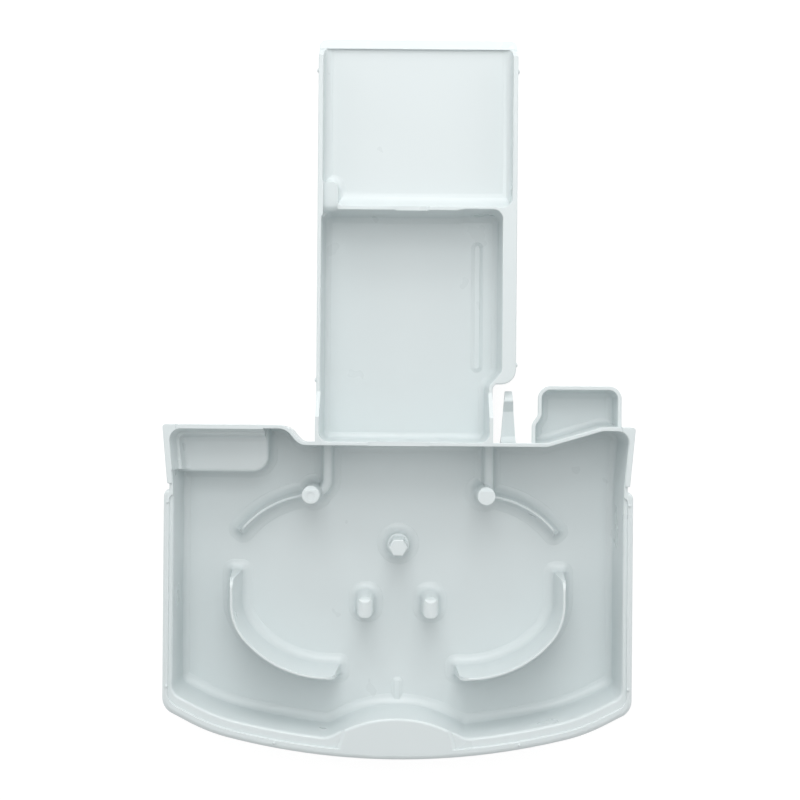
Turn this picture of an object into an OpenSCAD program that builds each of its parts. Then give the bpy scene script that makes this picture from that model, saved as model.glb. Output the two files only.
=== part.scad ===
// Drip tray of a countertop coffee machine, moulded in one piece. A wide basin with a bowed front
// catches the drips, a narrow tongue with two pans reaches back under the machine, and a small pocket
// stands beside it. Millimetres, +Z up, +Y towards the machine. The origin lies on the flat underside,
// on the centre plane of the basin.

/* [Shell] */
// Thickness of the floors and walls
wall = 2; // [1.6:0.1:2.6]
// Height of the lip above the underside
tray_h = 40; // [36:0.5:50]
// How far a deep wall leans inwards from its rim to its foot
lean = 0.9; // [0.4:0.1:1.3]
// Radius where a wall meets the floor
root_r = 3.4; // [2.5:0.1:3.8]
// How much more the bowed front leans and rounds than the side walls
front_lean = 1.4; // [1:0.05:1.5]
// Radius where a curved rib meets the floor
foot_r = 5; // [3.5:0.1:5.5]
// Radius where a post meets the floor
post_foot_r = 4.7; // [3.5:0.1:5.5]

/* [Basin] */
// Width over the lip
basin_w = 240; // [220:1:280]
// From the origin to the crest of the bowed front
front_y = 83.8; // [78:0.2:95]
// From the origin to the back of the straight back wall
back_y = 78.5; // [72:0.5:90]
// Radius of the bowed front
bow_r = 354; // [330:1:380]
// Slope of the front where the bow ends, in degrees
bow_slope = 13.4; // [12:0.2:14]
// Slope of the front between its shoulder and the corner, in degrees
shoulder_slope = 27.5; // [24:0.5:30]
// From the side of the lip in to the shoulder
shoulder_in = 24; // [22:0.5:27]
// Radius of the shoulder
shoulder_r = 92; // [80:1:96]
// Radius of the front corners of the lip
corner_r = 9; // [7:0.5:11]
// Radius of the corners inside the basin
inner_r = 6; // [5.5:0.1:8]

/* [Lip] */
// Width of the lip at the sides
lip_side = 3; // [2.5:0.1:3.5]
// Width of the lip at the front
lip_front = 4.3; // [3.5:0.1:5]
// Outer side of the lip to the inner wall at the sides
side_margin = 5; // [4.8:0.1:6]
// Outer side of the lip to the inner wall at the front
front_margin = 9.1; // [8:0.1:10]
// How far the lip stands above the ledge for the grid
lip_rise = 1.5; // [1:0.1:2.5]
// Radius along the outer edge of the lip
lip_edge = 2.2; // [1:0.1:2.6]
// Depth of the skirt that hangs from the lip
skirt_h = 10; // [6:0.5:16]
// Radius of each grid pip on the lip
pip_r = 0.8; // [0.5:0.1:1]
// From the origin to the side pips, forwards and backwards
pip_y = 47; // [40:0.5:48]
// From the centre plane to the front pips
pip_x = 62.5; // [50:0.5:80]

/* [Back of the basin] */
// Where the raised side walls begin
wing_y = 56.5; // [54:0.5:60]
// How far the raised side walls stand above the lip
wing_rise = 1; // [0.6:0.1:2]
// How far each side wall flares out to the back
wing_flare = 2.8; // [1.5:0.1:4]
// Width of the rim along the raised side walls
wing_t = 3; // [2.4:0.1:4]
// Depth of the thick band along the top of the raised side walls
wing_band = 10; // [6:0.5:16]
// How far the raised rim reaches along the back
wing_back = 6.9; // [5:0.1:9]
// Gap between the lip and the raised rim
wing_gap = 2.5; // [1:0.1:4]
// How far the two bays reach back behind the straight wall
bay_depth = 8.4; // [6:0.1:9]
// From the centre plane to the near end of the left bay
left_bay_x = 51; // [47:0.5:56]
// Length over which the left bay steps back
left_bay_run = 7; // [6:0.5:10]
// From the centre plane to the near end of the right bay
right_bay_x = 76; // [70:0.5:82]
// Length over which the right bay slants back
right_bay_run = 28; // [24:0.5:30]
// Radius of the bends in the back wall
bend_r = 8; // [7:0.5:9]
// Width of the overflow notch in the back wall
weir_w = 32; // [20:1:40]
// Depth of the overflow notches
weir_d = 1.5; // [0.8:0.1:3]

/* [Shelf] */
// Height of the raised floor at the back left, above the underside
shelf_h = 19; // [14:0.5:26]
// From the centre plane to the right side of the shelf
shelf_x = 68; // [64:0.5:74]
// From the back of the left bay to the front of the shelf
shelf_d = 25; // [20:0.5:30]
// Radius of the front corner of the shelf
shelf_r = 8.5; // [7:0.5:10]
// Radius along the upper edges of the shelf
shelf_edge = 1.5; // [1:0.1:2.5]
// How far the wall over the shelf leans in down to a small step
shelf_lean = 2; // [1.2:0.1:2.6]
// Width of that step
shelf_step = 1.5; // [0.5:0.1:2]
// Height of that step above the shelf
shelf_step_h = 8; // [6:0.5:12]

/* [Finger grip] */
// From the crest of the bowed front to the crest of the grip's wall
grip_d = 21.3; // [18:0.1:25]
// Radius of the grip's wall
grip_r = 62; // [55:1:66]
// Radius where the grip's wall turns into the front
grip_turn_r = 9; // [7:0.5:11]
// Slope of the grip's wall where it meets the front, in degrees
grip_slope = 26; // [24:0.5:28]
// Width of the flat top over the opening for the fingers
grip_w = 61.8; // [54:0.2:62]
// Slope of the sides of that flat top, in degrees from straight ahead
grip_splay = 17; // [10:1:20]
// Width of the bevel round that flat top
grip_bevel = 1.6; // [0.8:0.1:2]

/* [Posts] */
// From the centre plane to the round posts
post_x = 45; // [43:0.5:47]
// From the back wall to the round posts
post_in = 25.6; // [23:0.2:30]
// Radius of the round posts
post_r = 4.6; // [4:0.1:5.5]
// Height of the round posts above the underside
post_h = 38; // [34:0.5:38.5]
// Width of the hexagon post over its corners
hex_w = 9.8; // [8:0.1:12]
// Height of the hexagon post above the underside
hex_h = 31; // [24:0.5:36]
// From the origin to the hexagon post
hex_y = 23.8; // [18:0.2:30]
// Radius of the round foot of the hexagon post
hex_foot_r = 5.9; // [5.6:0.1:8]
// Height of the round foot above the floor
hex_foot_h = 8; // [6:0.5:14]
// From the centre plane to the two wedge posts
wedge_x = 17; // [14:0.5:22]
// From the origin to the middle of the wedge posts
wedge_y = 9.4; // [6:0.2:14]
// Width of the wedge posts at the foot
wedge_w = 9.4; // [8:0.2:11]
// Length of the wedge posts at the foot
wedge_l = 14.2; // [12:0.2:17]
// How far each side of the wedge posts leans in
wedge_lean = 1; // [0.4:0.1:1.6]
// How far each end of the wedge posts leans in
wedge_taper = 4.2; // [3:0.1:4.4]
// Height of the wedge posts above the underside
wedge_h = 30; // [24:0.5:36]

/* [Ribs] */
// Thickness of the curved ribs at the top
rib_t = 1.4; // [1.2:0.1:2.4]
// How far each side of the curved ribs leans out to the foot
rib_lean = 1.8; // [0.8:0.1:2.2]
// Radius over the free ends of the curved ribs
rib_end_r = 5; // [2:0.5:6]
// Height of the tall curved ribs above the underside
tall_rib_h = 38; // [32:0.5:38.5]
// From the centre plane to the straight end of the tall ribs
tall_rib_x = 85.2; // [80:0.2:90]
// From the origin to the front stretch of the tall ribs
tall_rib_y = 42.6; // [38:0.2:46]
// Gap between the centre plane and the front end of the tall ribs
tall_rib_gap = 30.6; // [28:0.2:36]
// Reach of the straight end of the tall ribs behind the origin
tall_rib_back = 9.5; // [4:0.5:12]
// Small radius of the tall ribs
tall_rib_r1 = 28; // [26:0.5:30]
// Large radius of the tall ribs
tall_rib_r2 = 57; // [56:0.5:60]
// Height of the low curved ribs above the underside
low_rib_h = 12; // [9:0.5:18]
// Radius of the low curved ribs
low_rib_r = 52.4; // [48:0.1:56]
// Angle over which the low curved ribs run, in degrees
low_rib_turn = 47; // [36:1:50]
// Slope of the low curved ribs where they leave the round posts, in degrees
low_rib_start = 3; // [0:0.5:8]
// From the middle of the round posts forwards to the low curved ribs
low_rib_in = 1; // [0:0.1:2]
// Width of the straight ribs at the top
web_t = 5; // [4:0.1:6]
// Height of the straight ribs above the underside
web_h = 13; // [10:0.5:20]
// Radius where the straight ribs meet the floor
web_root = 3.6; // [2.5:0.1:3.8]
// From the centre plane to the left straight rib
left_web_x = 37.5; // [36:0.1:39]
// From the centre plane to the right straight rib
right_web_x = 47.4; // [45:0.1:48.5]
// Height of the small ribs above the floor
bead_h = 1.6; // [1.2:0.1:3]
// Width of the small ribs at the top
bead_t = 2.4; // [1.6:0.1:3]
// Length of the small rib in front of the grip
bead_l = 15; // [10:0.5:18]

/* [Tongue] */
// Height of the tongue's rim above the underside
tongue_h = 30; // [28:0.5:34]
// From the centre plane to the left wall inside the middle pan
mid_left = 41; // [39:0.2:44]
// From the centre plane to the right wall inside the middle pan
mid_right = 52.7; // [51.5:0.1:55]
// From the centre plane to the right wall at the narrow front of the pan
mid_neck = 46.1; // [44:0.1:47]
// Length of the narrow front of the pan
neck_l = 29; // [26:0.5:32]
// Length over which the pan widens
neck_run = 7.5; // [7:0.5:9]
// Length inside the middle pan
mid_l = 119.5; // [110:0.5:130]
// Radius where the walls of the middle pan meet its floor
mid_root = 3; // [2:0.1:3.6]
// Radius of the upright corners inside the middle pan
mid_r = 5; // [4.6:0.1:6]
// Radius of the front corner of the flange
flange_r = 7.7; // [6:0.1:8]
// Depth of the flange's outer rim
flange_rim = 8; // [5:0.5:12]
// Radius of the small bumps on the sides of the tongue
bump_r = 1.4; // [1:0.1:2]
// Height of those bumps
bump_h = 5; // [3:0.5:8]
// Length over which the side rims rise to the basin
ramp_l = 13; // [10:0.5:16]
// From the back of the basin to the foot of that rise
ramp_y = 12.6; // [10:0.2:16]
// Distance of the long bead from the right wall of the pan
long_bead_in = 12.4; // [11:0.2:16]
// Length of the long bead
long_bead_l = 65; // [50:1:75]
// From the back wall of the middle pan to the long bead
long_bead_y = 16; // [12:0.5:20]

/* [Rear pan] */
// Thickness of the divider between the pans at the rim
divider_t = 2.1; // [1.8:0.1:2.6]
// How much thinner the divider is on its right side
divider_step = 0.7; // [0.3:0.1:0.8]
// From the centre plane to that step
divider_step_x = 29; // [20:1:36]
// Length inside the rear pan
rear_l = 82.7; // [70:0.1:95]
// Height of the rear pan's floor above the underside
rear_floor = 19; // [16:0.5:20]
// From the centre plane to the left wall inside the rear pan
rear_left = 40; // [37:0.2:41]
// From the centre plane to the right wall inside the rear pan
rear_right = 57.6; // [55:0.2:58.2]
// Thickness of the rear pan's side walls
rear_rim = 2.5; // [2.2:0.1:3]
// Radius where the rear pan's sides meet its floor
rear_root = 4; // [2.5:0.1:5]
// Radius of the sweep from the rear pan's floor up to the divider
sweep_r = 9; // [7:0.5:10]
// How far the low rear lip stands above the floor
rear_lip = 2.4; // [1.5:0.1:4]
// Length over which the side rims drop to the rear lip
drop_l = 5; // [4:0.5:8]
// Length of the sloping rear face
rear_slope_l = 5.6; // [4:0.1:7]
// Width of the spill corner at the front left of the rear pan
spill_w = 7.5; // [6:0.5:10]
// Length of the spill corner
spill_l = 12.5; // [10:0.5:16]
// Height of the spill corner above the rear pan's floor
spill_h = 5; // [3:0.5:7]
// Width of the notch in the divider
divider_weir_w = 17; // [12:0.5:24]
// From the centre plane to the middle of that notch
divider_weir_x = 5.5; // [0:0.5:10]

/* [Side pocket] */
// Height of the pocket's rim above the underside
pocket_h = 36; // [32:0.5:38]
// Depth of the pocket
pocket_d = 16; // [12:0.5:20]
// From the centre plane to the pocket's left wall, inside
pocket_left = 73; // [71:0.5:75]
// How far the pocket's left wall steps out near the basin
pocket_step = 3.1; // [2:0.1:4]
// From the centre plane to the pocket's right wall, inside
pocket_right = 112; // [110:0.5:114]
// Length of the pocket behind the straight back wall, inside
pocket_l = 27.3; // [24:0.1:32]
// Radius of the pocket's corners
pocket_r = 4.6; // [4:0.1:6]
// Radius at the pocket's floor
pocket_root = 3.4; // [2:0.1:3.6]

/* [Latch finger] */
// Distance of the finger from the centre plane
finger_x = 56.6; // [55.5:0.1:58]
// Length of the finger
finger_l = 26.5; // [20:0.5:30]
// Width of the finger at the basin
finger_w = 8; // [6:0.2:9]
// Width of the finger at the tip
finger_tip = 3.8; // [3:0.1:5]
// Height of the finger's upper side above the underside
finger_h = 24; // [20:0.5:30]
// Thickness of the finger
finger_t = 2.4; // [2:0.1:3]
// Height of the catch on the finger
catch_h = 3; // [2:0.1:4]

/* [Hidden] */
$fn = 24;
plastic = [0.8, 0.86, 0.87];
over = 1;        // how far a cut runs past the face it opens
sink = 0.05;     // how far a foot sinks into the floor
floor_z = wall;
ledge_z = tray_h - lip_rise;
wing_z = tray_h + wing_rise;
bow_y = bow_r - front_y;
back_in = back_y - wall;
bay_in = back_in + bay_depth;
half_in = basin_w / 2 - side_margin;
post_y = back_in - post_in;
mid_back = back_y + mid_l;
rear_front = mid_back + divider_t;
rear_back = rear_front + rear_l;
rear_outer = rear_back + rear_slope_l;
rear_under = rear_floor - wall;
flange_out = rear_right + rear_rim;
flange_front = back_y + neck_l + over;
ramp_top_y = back_y + ramp_y;
pocket_floor = pocket_h - pocket_d;
rear_slant = 0.3;      // how far the rear pan's sides lean in
rear_corner_r = 4.5;   // radius of the rear pan's outer corners
bead_spread = 0.3;     // how far a small rib spreads to its foot
bead_edge = 0.5;       // width of the bevel along its top
rib_edge = 0.4;        // radius along the top of the curved ribs
low_rib_run = 2;       // straight stretch at both ends of the low ribs
web_edge = 2;          // radius along the top of the straight ribs
web_sink = 3;          // how far the left straight rib runs into its post
grip_ease = 3;         // degrees by which the flat top turns less than the grip's wall
spill_r = 3.5;         // radius over the edge of the spill corner
grip_crest = -front_y + grip_d;
grip_apex = grip_crest + grip_r * (1 / cos(grip_slope) - 1);

// Plane geometry on outlines. An outline is a list of corners, anticlockwise from above. A corner is
// [x, y, radius], or [x, y, radius, k] where the side that starts there moves inwards k times as far.
function xy(c) = [c[0], c[1]];
function along(a, b) = (b - a) / norm(b - a);
function left(v) = [-v[1], v[0]];
function turned(v, a) = [v[0] * cos(a) - v[1] * sin(a), v[0] * sin(a) + v[1] * cos(a)];
function meet(p, u, q, v) = p + u * cross(q - p, v) / cross(u, v);
function steps(r) = r > 200 ? 6 : r > 40 ? 5 : r > 15 ? 4 : r > 0.6 ? 3 : 1;
function share(corner, d) = d > 0 && len(corner) > 3 ? d * corner[3] : d;

// The points of one rounded corner after the whole outline has moved inwards by d
function corner_points(before, corner, after, d) =
    let (
        u = along(xy(before), xy(corner)),
        v = along(xy(corner), xy(after)),
        side = cross(u, v) > 0 ? 1 : -1,
        turn = acos(u * v),
        tip = meet(xy(corner) + left(u) * share(before, d), u, xy(corner) + left(v) * share(corner, d), v),
        r = max(corner[2] - side * d, 0.1),
        first = tip - u * r * tan(turn / 2),
        centre = first + left(u) * r * side,
        n = steps(corner[2])
    )
    [for (k = [0:n]) centre + turned(first - centre, side * turn * k / n)];

function outline(corners, d) =
    let (n = len(corners))
    [for (i = [0:n - 1]) each corner_points(corners[(i + n - 1) % n], corners[i], corners[(i + 1) % n], d)];

// A solid whose outline is moved inwards by a different distance at each level [z, distance]
module loft(corners, levels) {
    rings = [for (l = levels) [for (p = outline(corners, l[1])) [p[0], p[1], l[0]]]];
    m = len(rings[0]);
    top = (len(levels) - 1) * m;
    sides = [
        for (j = [0:len(levels) - 2], i = [0:m - 1])
        [j * m + i, (j + 1) * m + i, (j + 1) * m + (i + 1) % m, j * m + (i + 1) % m]
    ];
    bottom_cap = [for (i = [0:m - 1]) i];
    top_cap = [for (i = [m - 1:-1:0]) top + i];
    polyhedron(points = [for (r = rings) each r], faces = concat([bottom_cap], sides, [top_cap]), convexity = 6);
}

// Levels of a hollow with a rounded root, of the shell round it, of a foot that spreads on a floor below
// a leaning block, of a rounded lower edge and of a rounded upper edge
function hollow_levels(z0, z1, r, slant) = concat(
    [for (a = [0:30:90]) [z0 + r * (1 - cos(a)), slant + r * (1 - sin(a))]],
    [[z1, 0], [z1 + over, 0]]
);
function shell_levels(z0, z1, r, slant) = concat(
    [for (a = [0:30:90]) [z0 + r - (r + wall) * cos(a), slant + r - (r + wall) * sin(a)]],
    [[z1, -wall]]
);
function foot_levels(z0, r) = concat(
    [[z0 - over, -r]],
    [for (a = [0:30:90]) [z0 - sink + r * (1 - cos(a)), -r * (1 - sin(a))]]
);
function lower_edge(z0, r) = [for (a = [0:30:90]) [z0 + r * (1 - cos(a)), r * (1 - sin(a))]];
function upper_edge(z1, r, slant) = [for (a = [0:30:90]) [z1 - r + r * sin(a), slant + r * (1 - cos(a))]];
function rectangle(x0, x1, y0, y1, r) = [[x0, y0, r], [x1, y0, r], [x1, y1, r], [x0, y1, r]];

// The tip between two tangents of the bow, whose slopes are a and b, for a bow of radius r
function bow_tip(a, b, r) = [0, bow_y] + r / cos((b - a) / 2) * [sin((a + b) / 2), -cos((a + b) / 2)];

// The right shoulder and front corner, moved in by side_in at the side and front_in along the front
function front_right(side_in, front_in, r) =
    let (
        u = [cos(bow_slope), sin(bow_slope)],
        v = [cos(shoulder_slope), sin(shoulder_slope)],
        outer = meet(bow_tip(-bow_slope, bow_slope, bow_r), u, [basin_w / 2 - shoulder_in, 0], [0, 1]),
        shoulder = meet(bow_tip(-bow_slope, bow_slope, bow_r - front_in), u, outer + left(v) * front_in, v),
        corner = meet(shoulder, v, [basin_w / 2 - side_in, 0], [0, 1])
    )
    [[shoulder[0], shoulder[1], shoulder_r], [corner[0], corner[1], r]];

// A row of corners that is the same on both sides of the middle one
function mirrored(c) = [for (i = [len(c) - 1:-1:0]) [-c[i][0], c[i][1], c[i][2]]];
function row(middle, right) = concat(mirrored(right), [middle], right);
function bowed(side_in, front_in, r) =
    let (tip = bow_tip(-bow_slope, bow_slope, bow_r - front_in))
    row([tip[0], tip[1], bow_r - front_in], front_right(side_in, front_in, r));

// The front wall inside the basin, with the bulge of the grip in its middle. The bow runs up to where
// the rounding into the bulge begins.
function gripped_front() =
    let (
        r = bow_r - front_margin,
        m = bow_y - grip_apex,
        t = tan(grip_slope),
        x = (sqrt(m * m * t * t - (1 + t * t) * (m * m - r * r)) - m * t) / (1 + t * t),
        slope = asin((x + grip_turn_r * 0.45) / r),
        tip = bow_tip(slope, bow_slope, r),
        turn = meet(tip, [cos(slope), sin(slope)], [0, grip_apex], [cos(grip_slope), -sin(grip_slope)]),
        corners = row([0, grip_apex, grip_r], concat(
            [[turn[0], turn[1], grip_turn_r], [tip[0], tip[1], r]],
            front_right(side_margin, front_margin, inner_r)
        ))
    )
    [for (i = [0:len(corners) - 1]) concat(corners[i], i < len(corners) - 1 ? front_lean : 1)];

basin_outline = concat(gripped_front(), [
    [half_in, wing_y, 20],
    [half_in + wing_flare, bay_in, inner_r],
    [right_bay_x + right_bay_run, bay_in, bend_r],
    [right_bay_x, back_in, bend_r],
    [-left_bay_x, back_in, bend_r],
    [-left_bay_x - left_bay_run, bay_in, bend_r],
    [-half_in - wing_flare, bay_in, inner_r],
    [-half_in, wing_y, 20]
]);

lip_outline = concat(bowed(0, 0, corner_r), [
    [basin_w / 2, wing_y - wing_gap, 4],
    [-basin_w / 2, wing_y - wing_gap, 4]
]);

grid_outline = concat(bowed(lip_side, lip_front, corner_r - lip_side / 2), [
    [basin_w / 2 - lip_side, wing_y - wing_gap - lip_side, lip_side],
    [-basin_w / 2 + lip_side, wing_y - wing_gap - lip_side, lip_side]
]);

// The middle pan. The divider behind it is thinner on the right.
function mid_outline(front) = [
    [-mid_left, front, mid_r],
    [mid_neck, front, mid_r],
    [mid_neck, back_y + neck_l, mid_r],
    [mid_right, back_y + neck_l + neck_run, mid_r],
    [mid_right, mid_back + divider_step, mid_r],
    [divider_step_x + 4, mid_back + divider_step, 3],
    [divider_step_x, mid_back, 3],
    [-mid_left, mid_back, mid_r]
];

pocket_outline = [
    [pocket_left - pocket_step, back_y, 0.5],
    [right_bay_x, back_y, bend_r],
    [right_bay_x + right_bay_run, back_y + bay_depth, bend_r],
    [pocket_right, back_y + bay_depth, 0.5],
    [pocket_right, back_y + pocket_l, pocket_r],
    [pocket_left, back_y + pocket_l, pocket_r],
    [pocket_left, back_y + pocket_l / 2, pocket_r],
    [pocket_left - pocket_step, back_y + pocket_l / 3, pocket_r]
];

// The outline of a rib that follows a path of corners, t to each side, with corners of radius r at its
// two ends
function path_side(path, i, d) =
    let (
        n = len(path) - 1,
        p = xy(path[i]),
        u = i > 0 ? along(xy(path[i - 1]), p) : along(p, xy(path[1])),
        v = i < n ? along(p, xy(path[i + 1])) : u
    )
    i > 0 && i < n ? meet(p + left(u) * d, u, p + left(v) * d, v) : p + left(u) * d;
function path_radius(path, i, d, r) =
    let (side = i > 0 && i < len(path) - 1
        ? cross(xy(path[i]) - xy(path[i - 1]), xy(path[i + 1]) - xy(path[i])) : 0)
    side == 0 ? r : path[i][2] - sign(side) * d;
function ribbon(path, t, r) = [
    for (k = [[-1, 0], [1, len(path) - 1]], i = [0:len(path) - 1])
    let (j = abs(k[1] - i), c = path_side(path, j, k[0] * t))
    [c[0], c[1], path_radius(path, j, k[0] * t, r)]
];

// A rib with a flared foot, leaning sides and a rounded top
module rib(path, top_t, h, slant, root, top_r, end_r) {
    loft(
        ribbon(path, top_t / 2 + slant, end_r),
        concat(foot_levels(floor_z, root), upper_edge(h, top_r, slant))
    );
}

// Half of the section of a round post
function half_section(half_t, h, slant, r, top_r) = concat(
    [[0, -over], [half_t + slant + r, -over]],
    [for (a = [0:30:90]) [half_t + slant + r * (1 - sin(a)), -sink + r * (1 - cos(a))]],
    [for (a = [0:30:90]) [half_t - top_r + top_r * cos(a), h - top_r + top_r * sin(a)]],
    [[0, h]]
);

module round_post(at, half) {
    translate([at[0], at[1], floor_z])
        rotate_extrude()
            polygon(half);
}

// What is cut from the top of a free end, to round it over
module rib_end_cut(tip, direction, h, slant, end_r) {
    half_w = rib_t / 2 + slant + over;
    translate([tip[0], tip[1], h - end_r])
        rotate([0, 0, direction])
            translate([-slant - end_r, half_w, 0])
                rotate([90, 0, 0])
                    linear_extrude(height = 2 * half_w)
                        difference() {
                            square([end_r + slant + over, end_r + over]);
                            circle(end_r, $fn = 32);
                        }
}

// The raised floor at the back left, with a rounded root and a small step in the wall round it
function shelf_outline(moved_in) =
    rectangle(-basin_w, -shelf_x - moved_in, bay_in + wall - shelf_d + moved_in, bay_in + 20, shelf_r);

module shelf() {
    step_z = shelf_h + shelf_step_h;
    foot = shelf_lean + shelf_step + lean;
    loft(shelf_outline(0), concat(foot_levels(floor_z, root_r), upper_edge(shelf_h, shelf_edge, 0)));
    difference() {
        loft(shelf_outline(shelf_edge), [[shelf_h - shelf_edge, 0], [wing_z, 0]]);
        loft(basin_outline, [
            for (a = [0:30:90])
            [shelf_h + root_r * (1 - cos(a)), foot + root_r * (1 - sin(a))],
            [step_z, foot - lean],
            [step_z + 0.3, shelf_lean],
            [wing_z + over, -sink]
        ]);
    }
}

// The flat top over the finger hollow, which carries the lip's height back to the grip's wall
module grip_top() {
    front = [grip_w / 2, -front_y + lip_front];
    slope = grip_slope - grip_ease;
    wall_line = [0, grip_crest + grip_r * (1 / cos(slope) - 1) + 0.9];
    knee = meet(front, turned([0, 1], grip_splay), wall_line, [cos(slope), -sin(slope)]);
    foot = front + [tan(grip_splay), -1] * (lip_front + over);
    corners = row([0, wall_line[1], grip_r], [[knee[0], knee[1], 3], [foot[0], foot[1], 1]]);
    loft([for (i = [len(corners) - 1:-1:0]) corners[i]], [
        [ledge_z - wall, -grip_bevel * wall / lip_rise],
        [tray_h - 0.3, grip_bevel * 0.8],
        [tray_h, grip_bevel],
        [wing_z + 2 * over, grip_bevel]
    ]);
}

// What stands in the basin
module round_posts() {
    half = half_section(post_r, post_h - floor_z, 0.3, post_foot_r, 0.4);
    for (s = [-1, 1])
        difference() {
            round_post([s * post_x, post_y], half);
            translate([s * post_x, post_y + post_r * 0.55, post_h])
                rotate([55, 0, 0])
                    translate([-10, 0, -20])
                        cube([20, 20, 40]);
        }
}

module hexagon_post() {
    half = half_section(hex_foot_r, hex_foot_h, 0.2, post_foot_r, 0.8);
    corners = [for (a = [0:60:300]) [hex_w / 2 * cos(a), hex_y + hex_w / 2 * sin(a), 0.4]];
    round_post([0, hex_y], half);
    loft(corners, concat([[floor_z, -0.3]], upper_edge(hex_h, 0.7, 0)));
}

module wedge_posts() {
    x = wedge_w / 2;
    y = wedge_l / 2;
    r = x - wedge_lean;
    k = wedge_taper / wedge_lean;
    corners = [[-x, -y, r, k], [x, -y, r, 1], [x, y, r, k], [-x, y, r, 1]];
    for (s = [-1, 1])
        translate([s * wedge_x, -wedge_y, 0])
            loft(corners, concat(foot_levels(floor_z, post_foot_r), upper_edge(wedge_h, 0.15, wedge_lean - 0.1)));
}

module tall_rib() {
    centre_2 = [-tall_rib_gap - 5, -tall_rib_y + tall_rib_r2];
    run = tall_rib_x - tall_rib_r1 + centre_2[0];
    reach = tall_rib_r2 - tall_rib_r1;
    turn = acos(run / reach);
    join = centre_2 - tall_rib_r2 * [cos(turn), sin(turn)];
    slope = [sin(turn), -cos(turn)];
    back = [-tall_rib_x, tall_rib_back];
    front = [-tall_rib_gap, -tall_rib_y];
    bend_1 = meet(back, [0, -1], join, slope);
    bend_2 = meet(front, [-1, 0], join, slope);
    difference() {
        rib(
            [back, [bend_1[0], bend_1[1], tall_rib_r1], [bend_2[0], bend_2[1], tall_rib_r2], front],
            rib_t, tall_rib_h, rib_lean, foot_r, rib_edge, 0.3
        );
        rib_end_cut(back, 90, tall_rib_h, rib_lean, rib_end_r);
        rib_end_cut(front, 0, tall_rib_h, rib_lean, rib_end_r);
    }
}

module low_rib() {
    slant = rib_lean * 0.6;
    start = [-post_x, post_y - low_rib_in];
    first = [-cos(low_rib_start), -sin(low_rib_start)];
    last = turned(first, low_rib_turn);
    reach = low_rib_r * tan(low_rib_turn / 2);
    bend = start + first * reach;
    tip = bend + last * (reach + low_rib_run);
    difference() {
        rib(
            [start - first * low_rib_run, [bend[0], bend[1], low_rib_r], tip],
            rib_t, low_rib_h, slant, foot_r, rib_edge, 0.3
        );
        rib_end_cut(tip, atan2(last[1], last[0]), low_rib_h, slant, rib_end_r * 0.6);
    }
}

module webs() {
    bend = post_x - left_web_x;
    left_path = [[-left_web_x, back_y], [-left_web_x, post_y, bend - 0.5], [-post_x - web_sink, post_y]];
    right_path = [[right_web_x, back_y], [right_web_x, post_y]];
    for (path = [left_path, right_path])
        rib(path, web_t, web_h, lean / 2, web_root, web_edge, 1);
}

// The small ribs on the floors, with round ends
module bead(from, to) {
    hull()
        for (at = [from, to])
            translate([at[0], at[1], floor_z])
                cylinder(h = bead_h, r1 = bead_t / 2 + bead_spread, r2 = bead_t / 2 - bead_edge);
}

module beads() {
    long_x = mid_right - long_bead_in;
    long_y = mid_back - long_bead_y;
    bead([0, grip_crest - wall], [0, grip_crest + bead_l]);
    bead([long_x, long_y], [long_x, long_y - long_bead_l]);
}

// Solid bodies before anything is hollowed out
module lip() {
    difference() {
        loft(lip_outline, concat([[tray_h - skirt_h, 0]], upper_edge(tray_h, lip_edge, 0)));
        loft(lip_outline, [[tray_h - skirt_h - over, wall], [ledge_z - wall, wall]]);
    }
}

// The raised rim round each back corner
module wing() {
    back = bay_in + wall;
    top = half_in + wing_flare + wing_t;
    corners = [
        [half_in - over, wing_y, 0.2],
        [half_in + wing_t, wing_y, 0.6],
        [top, back, 1.4],
        [top - wing_back, back, 0.2]
    ];
    loft(corners, concat([[tray_h - wing_band, 0]], upper_edge(wing_z, 0.3, 0)));
}

module flange() {
    corners = [
        [mid_neck, flange_front, 0.5],
        [flange_out, flange_front, flange_r],
        [flange_out, mid_back, 0.5],
        [mid_neck, mid_back, 0.5]
    ];
    difference() {
        loft(corners, concat([[tongue_h - flange_rim, 0]], upper_edge(tongue_h, 0.6, 0)));
        loft(corners, [[tongue_h - flange_rim - over, wall], [tongue_h - wall, wall]]);
    }
}

module rear_block() {
    corners = rectangle(-rear_left - rear_rim, flange_out, mid_back - 8, rear_outer, rear_corner_r);
    loft(corners, concat(lower_edge(rear_under, 2), [[tongue_h, 0]]));
}

module bumps() {
    rear = rear_back - 12.7;
    z = tongue_h - bump_h;
    for (at = [
        [-rear_left - rear_rim, rear],
        [flange_out, rear],
        [-mid_left - wall, ramp_top_y + ramp_l + 6],
        [flange_out, flange_front + 10]
    ])
        hull()
            for (r = [bump_r, bump_r + 0.5])
                translate([at[0] - sign(at[0]) * (r - bump_r * 0.7), at[1], z])
                    cylinder(h = bump_h - 0.6 + 0.5 * (bump_r - r), r = r, $fn = 16);
}

module finger() {
    root = [finger_w / 2, back_in];
    tip = [finger_tip / 2, back_y + finger_l];
    crest = back_y + finger_l - 5;
    intersection() {
        translate([finger_x, 0, 0])
            linear_extrude(height = tray_h)
                polygon([[-root[0], root[1]], root, tip, [-tip[0], tip[1]]]);
        translate([finger_x - finger_w, 0, 0])
            rotate([90, 0, 90])
                linear_extrude(height = 2 * finger_w)
                    polygon([
                        [back_in, finger_h - finger_t - 3],
                        [back_y, finger_h - finger_t - 3],
                        [back_y + 3, finger_h - finger_t],
                        [tip[1], finger_h - finger_t],
                        [tip[1], finger_h],
                        [crest + 0.6, finger_h + catch_h],
                        [crest - 0.6, finger_h + catch_h],
                        [crest - 5.6, finger_h],
                        [back_y + 3, finger_h],
                        [back_y, finger_h + 3],
                        [back_in, finger_h + 3]
                    ]);
    }
}

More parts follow.
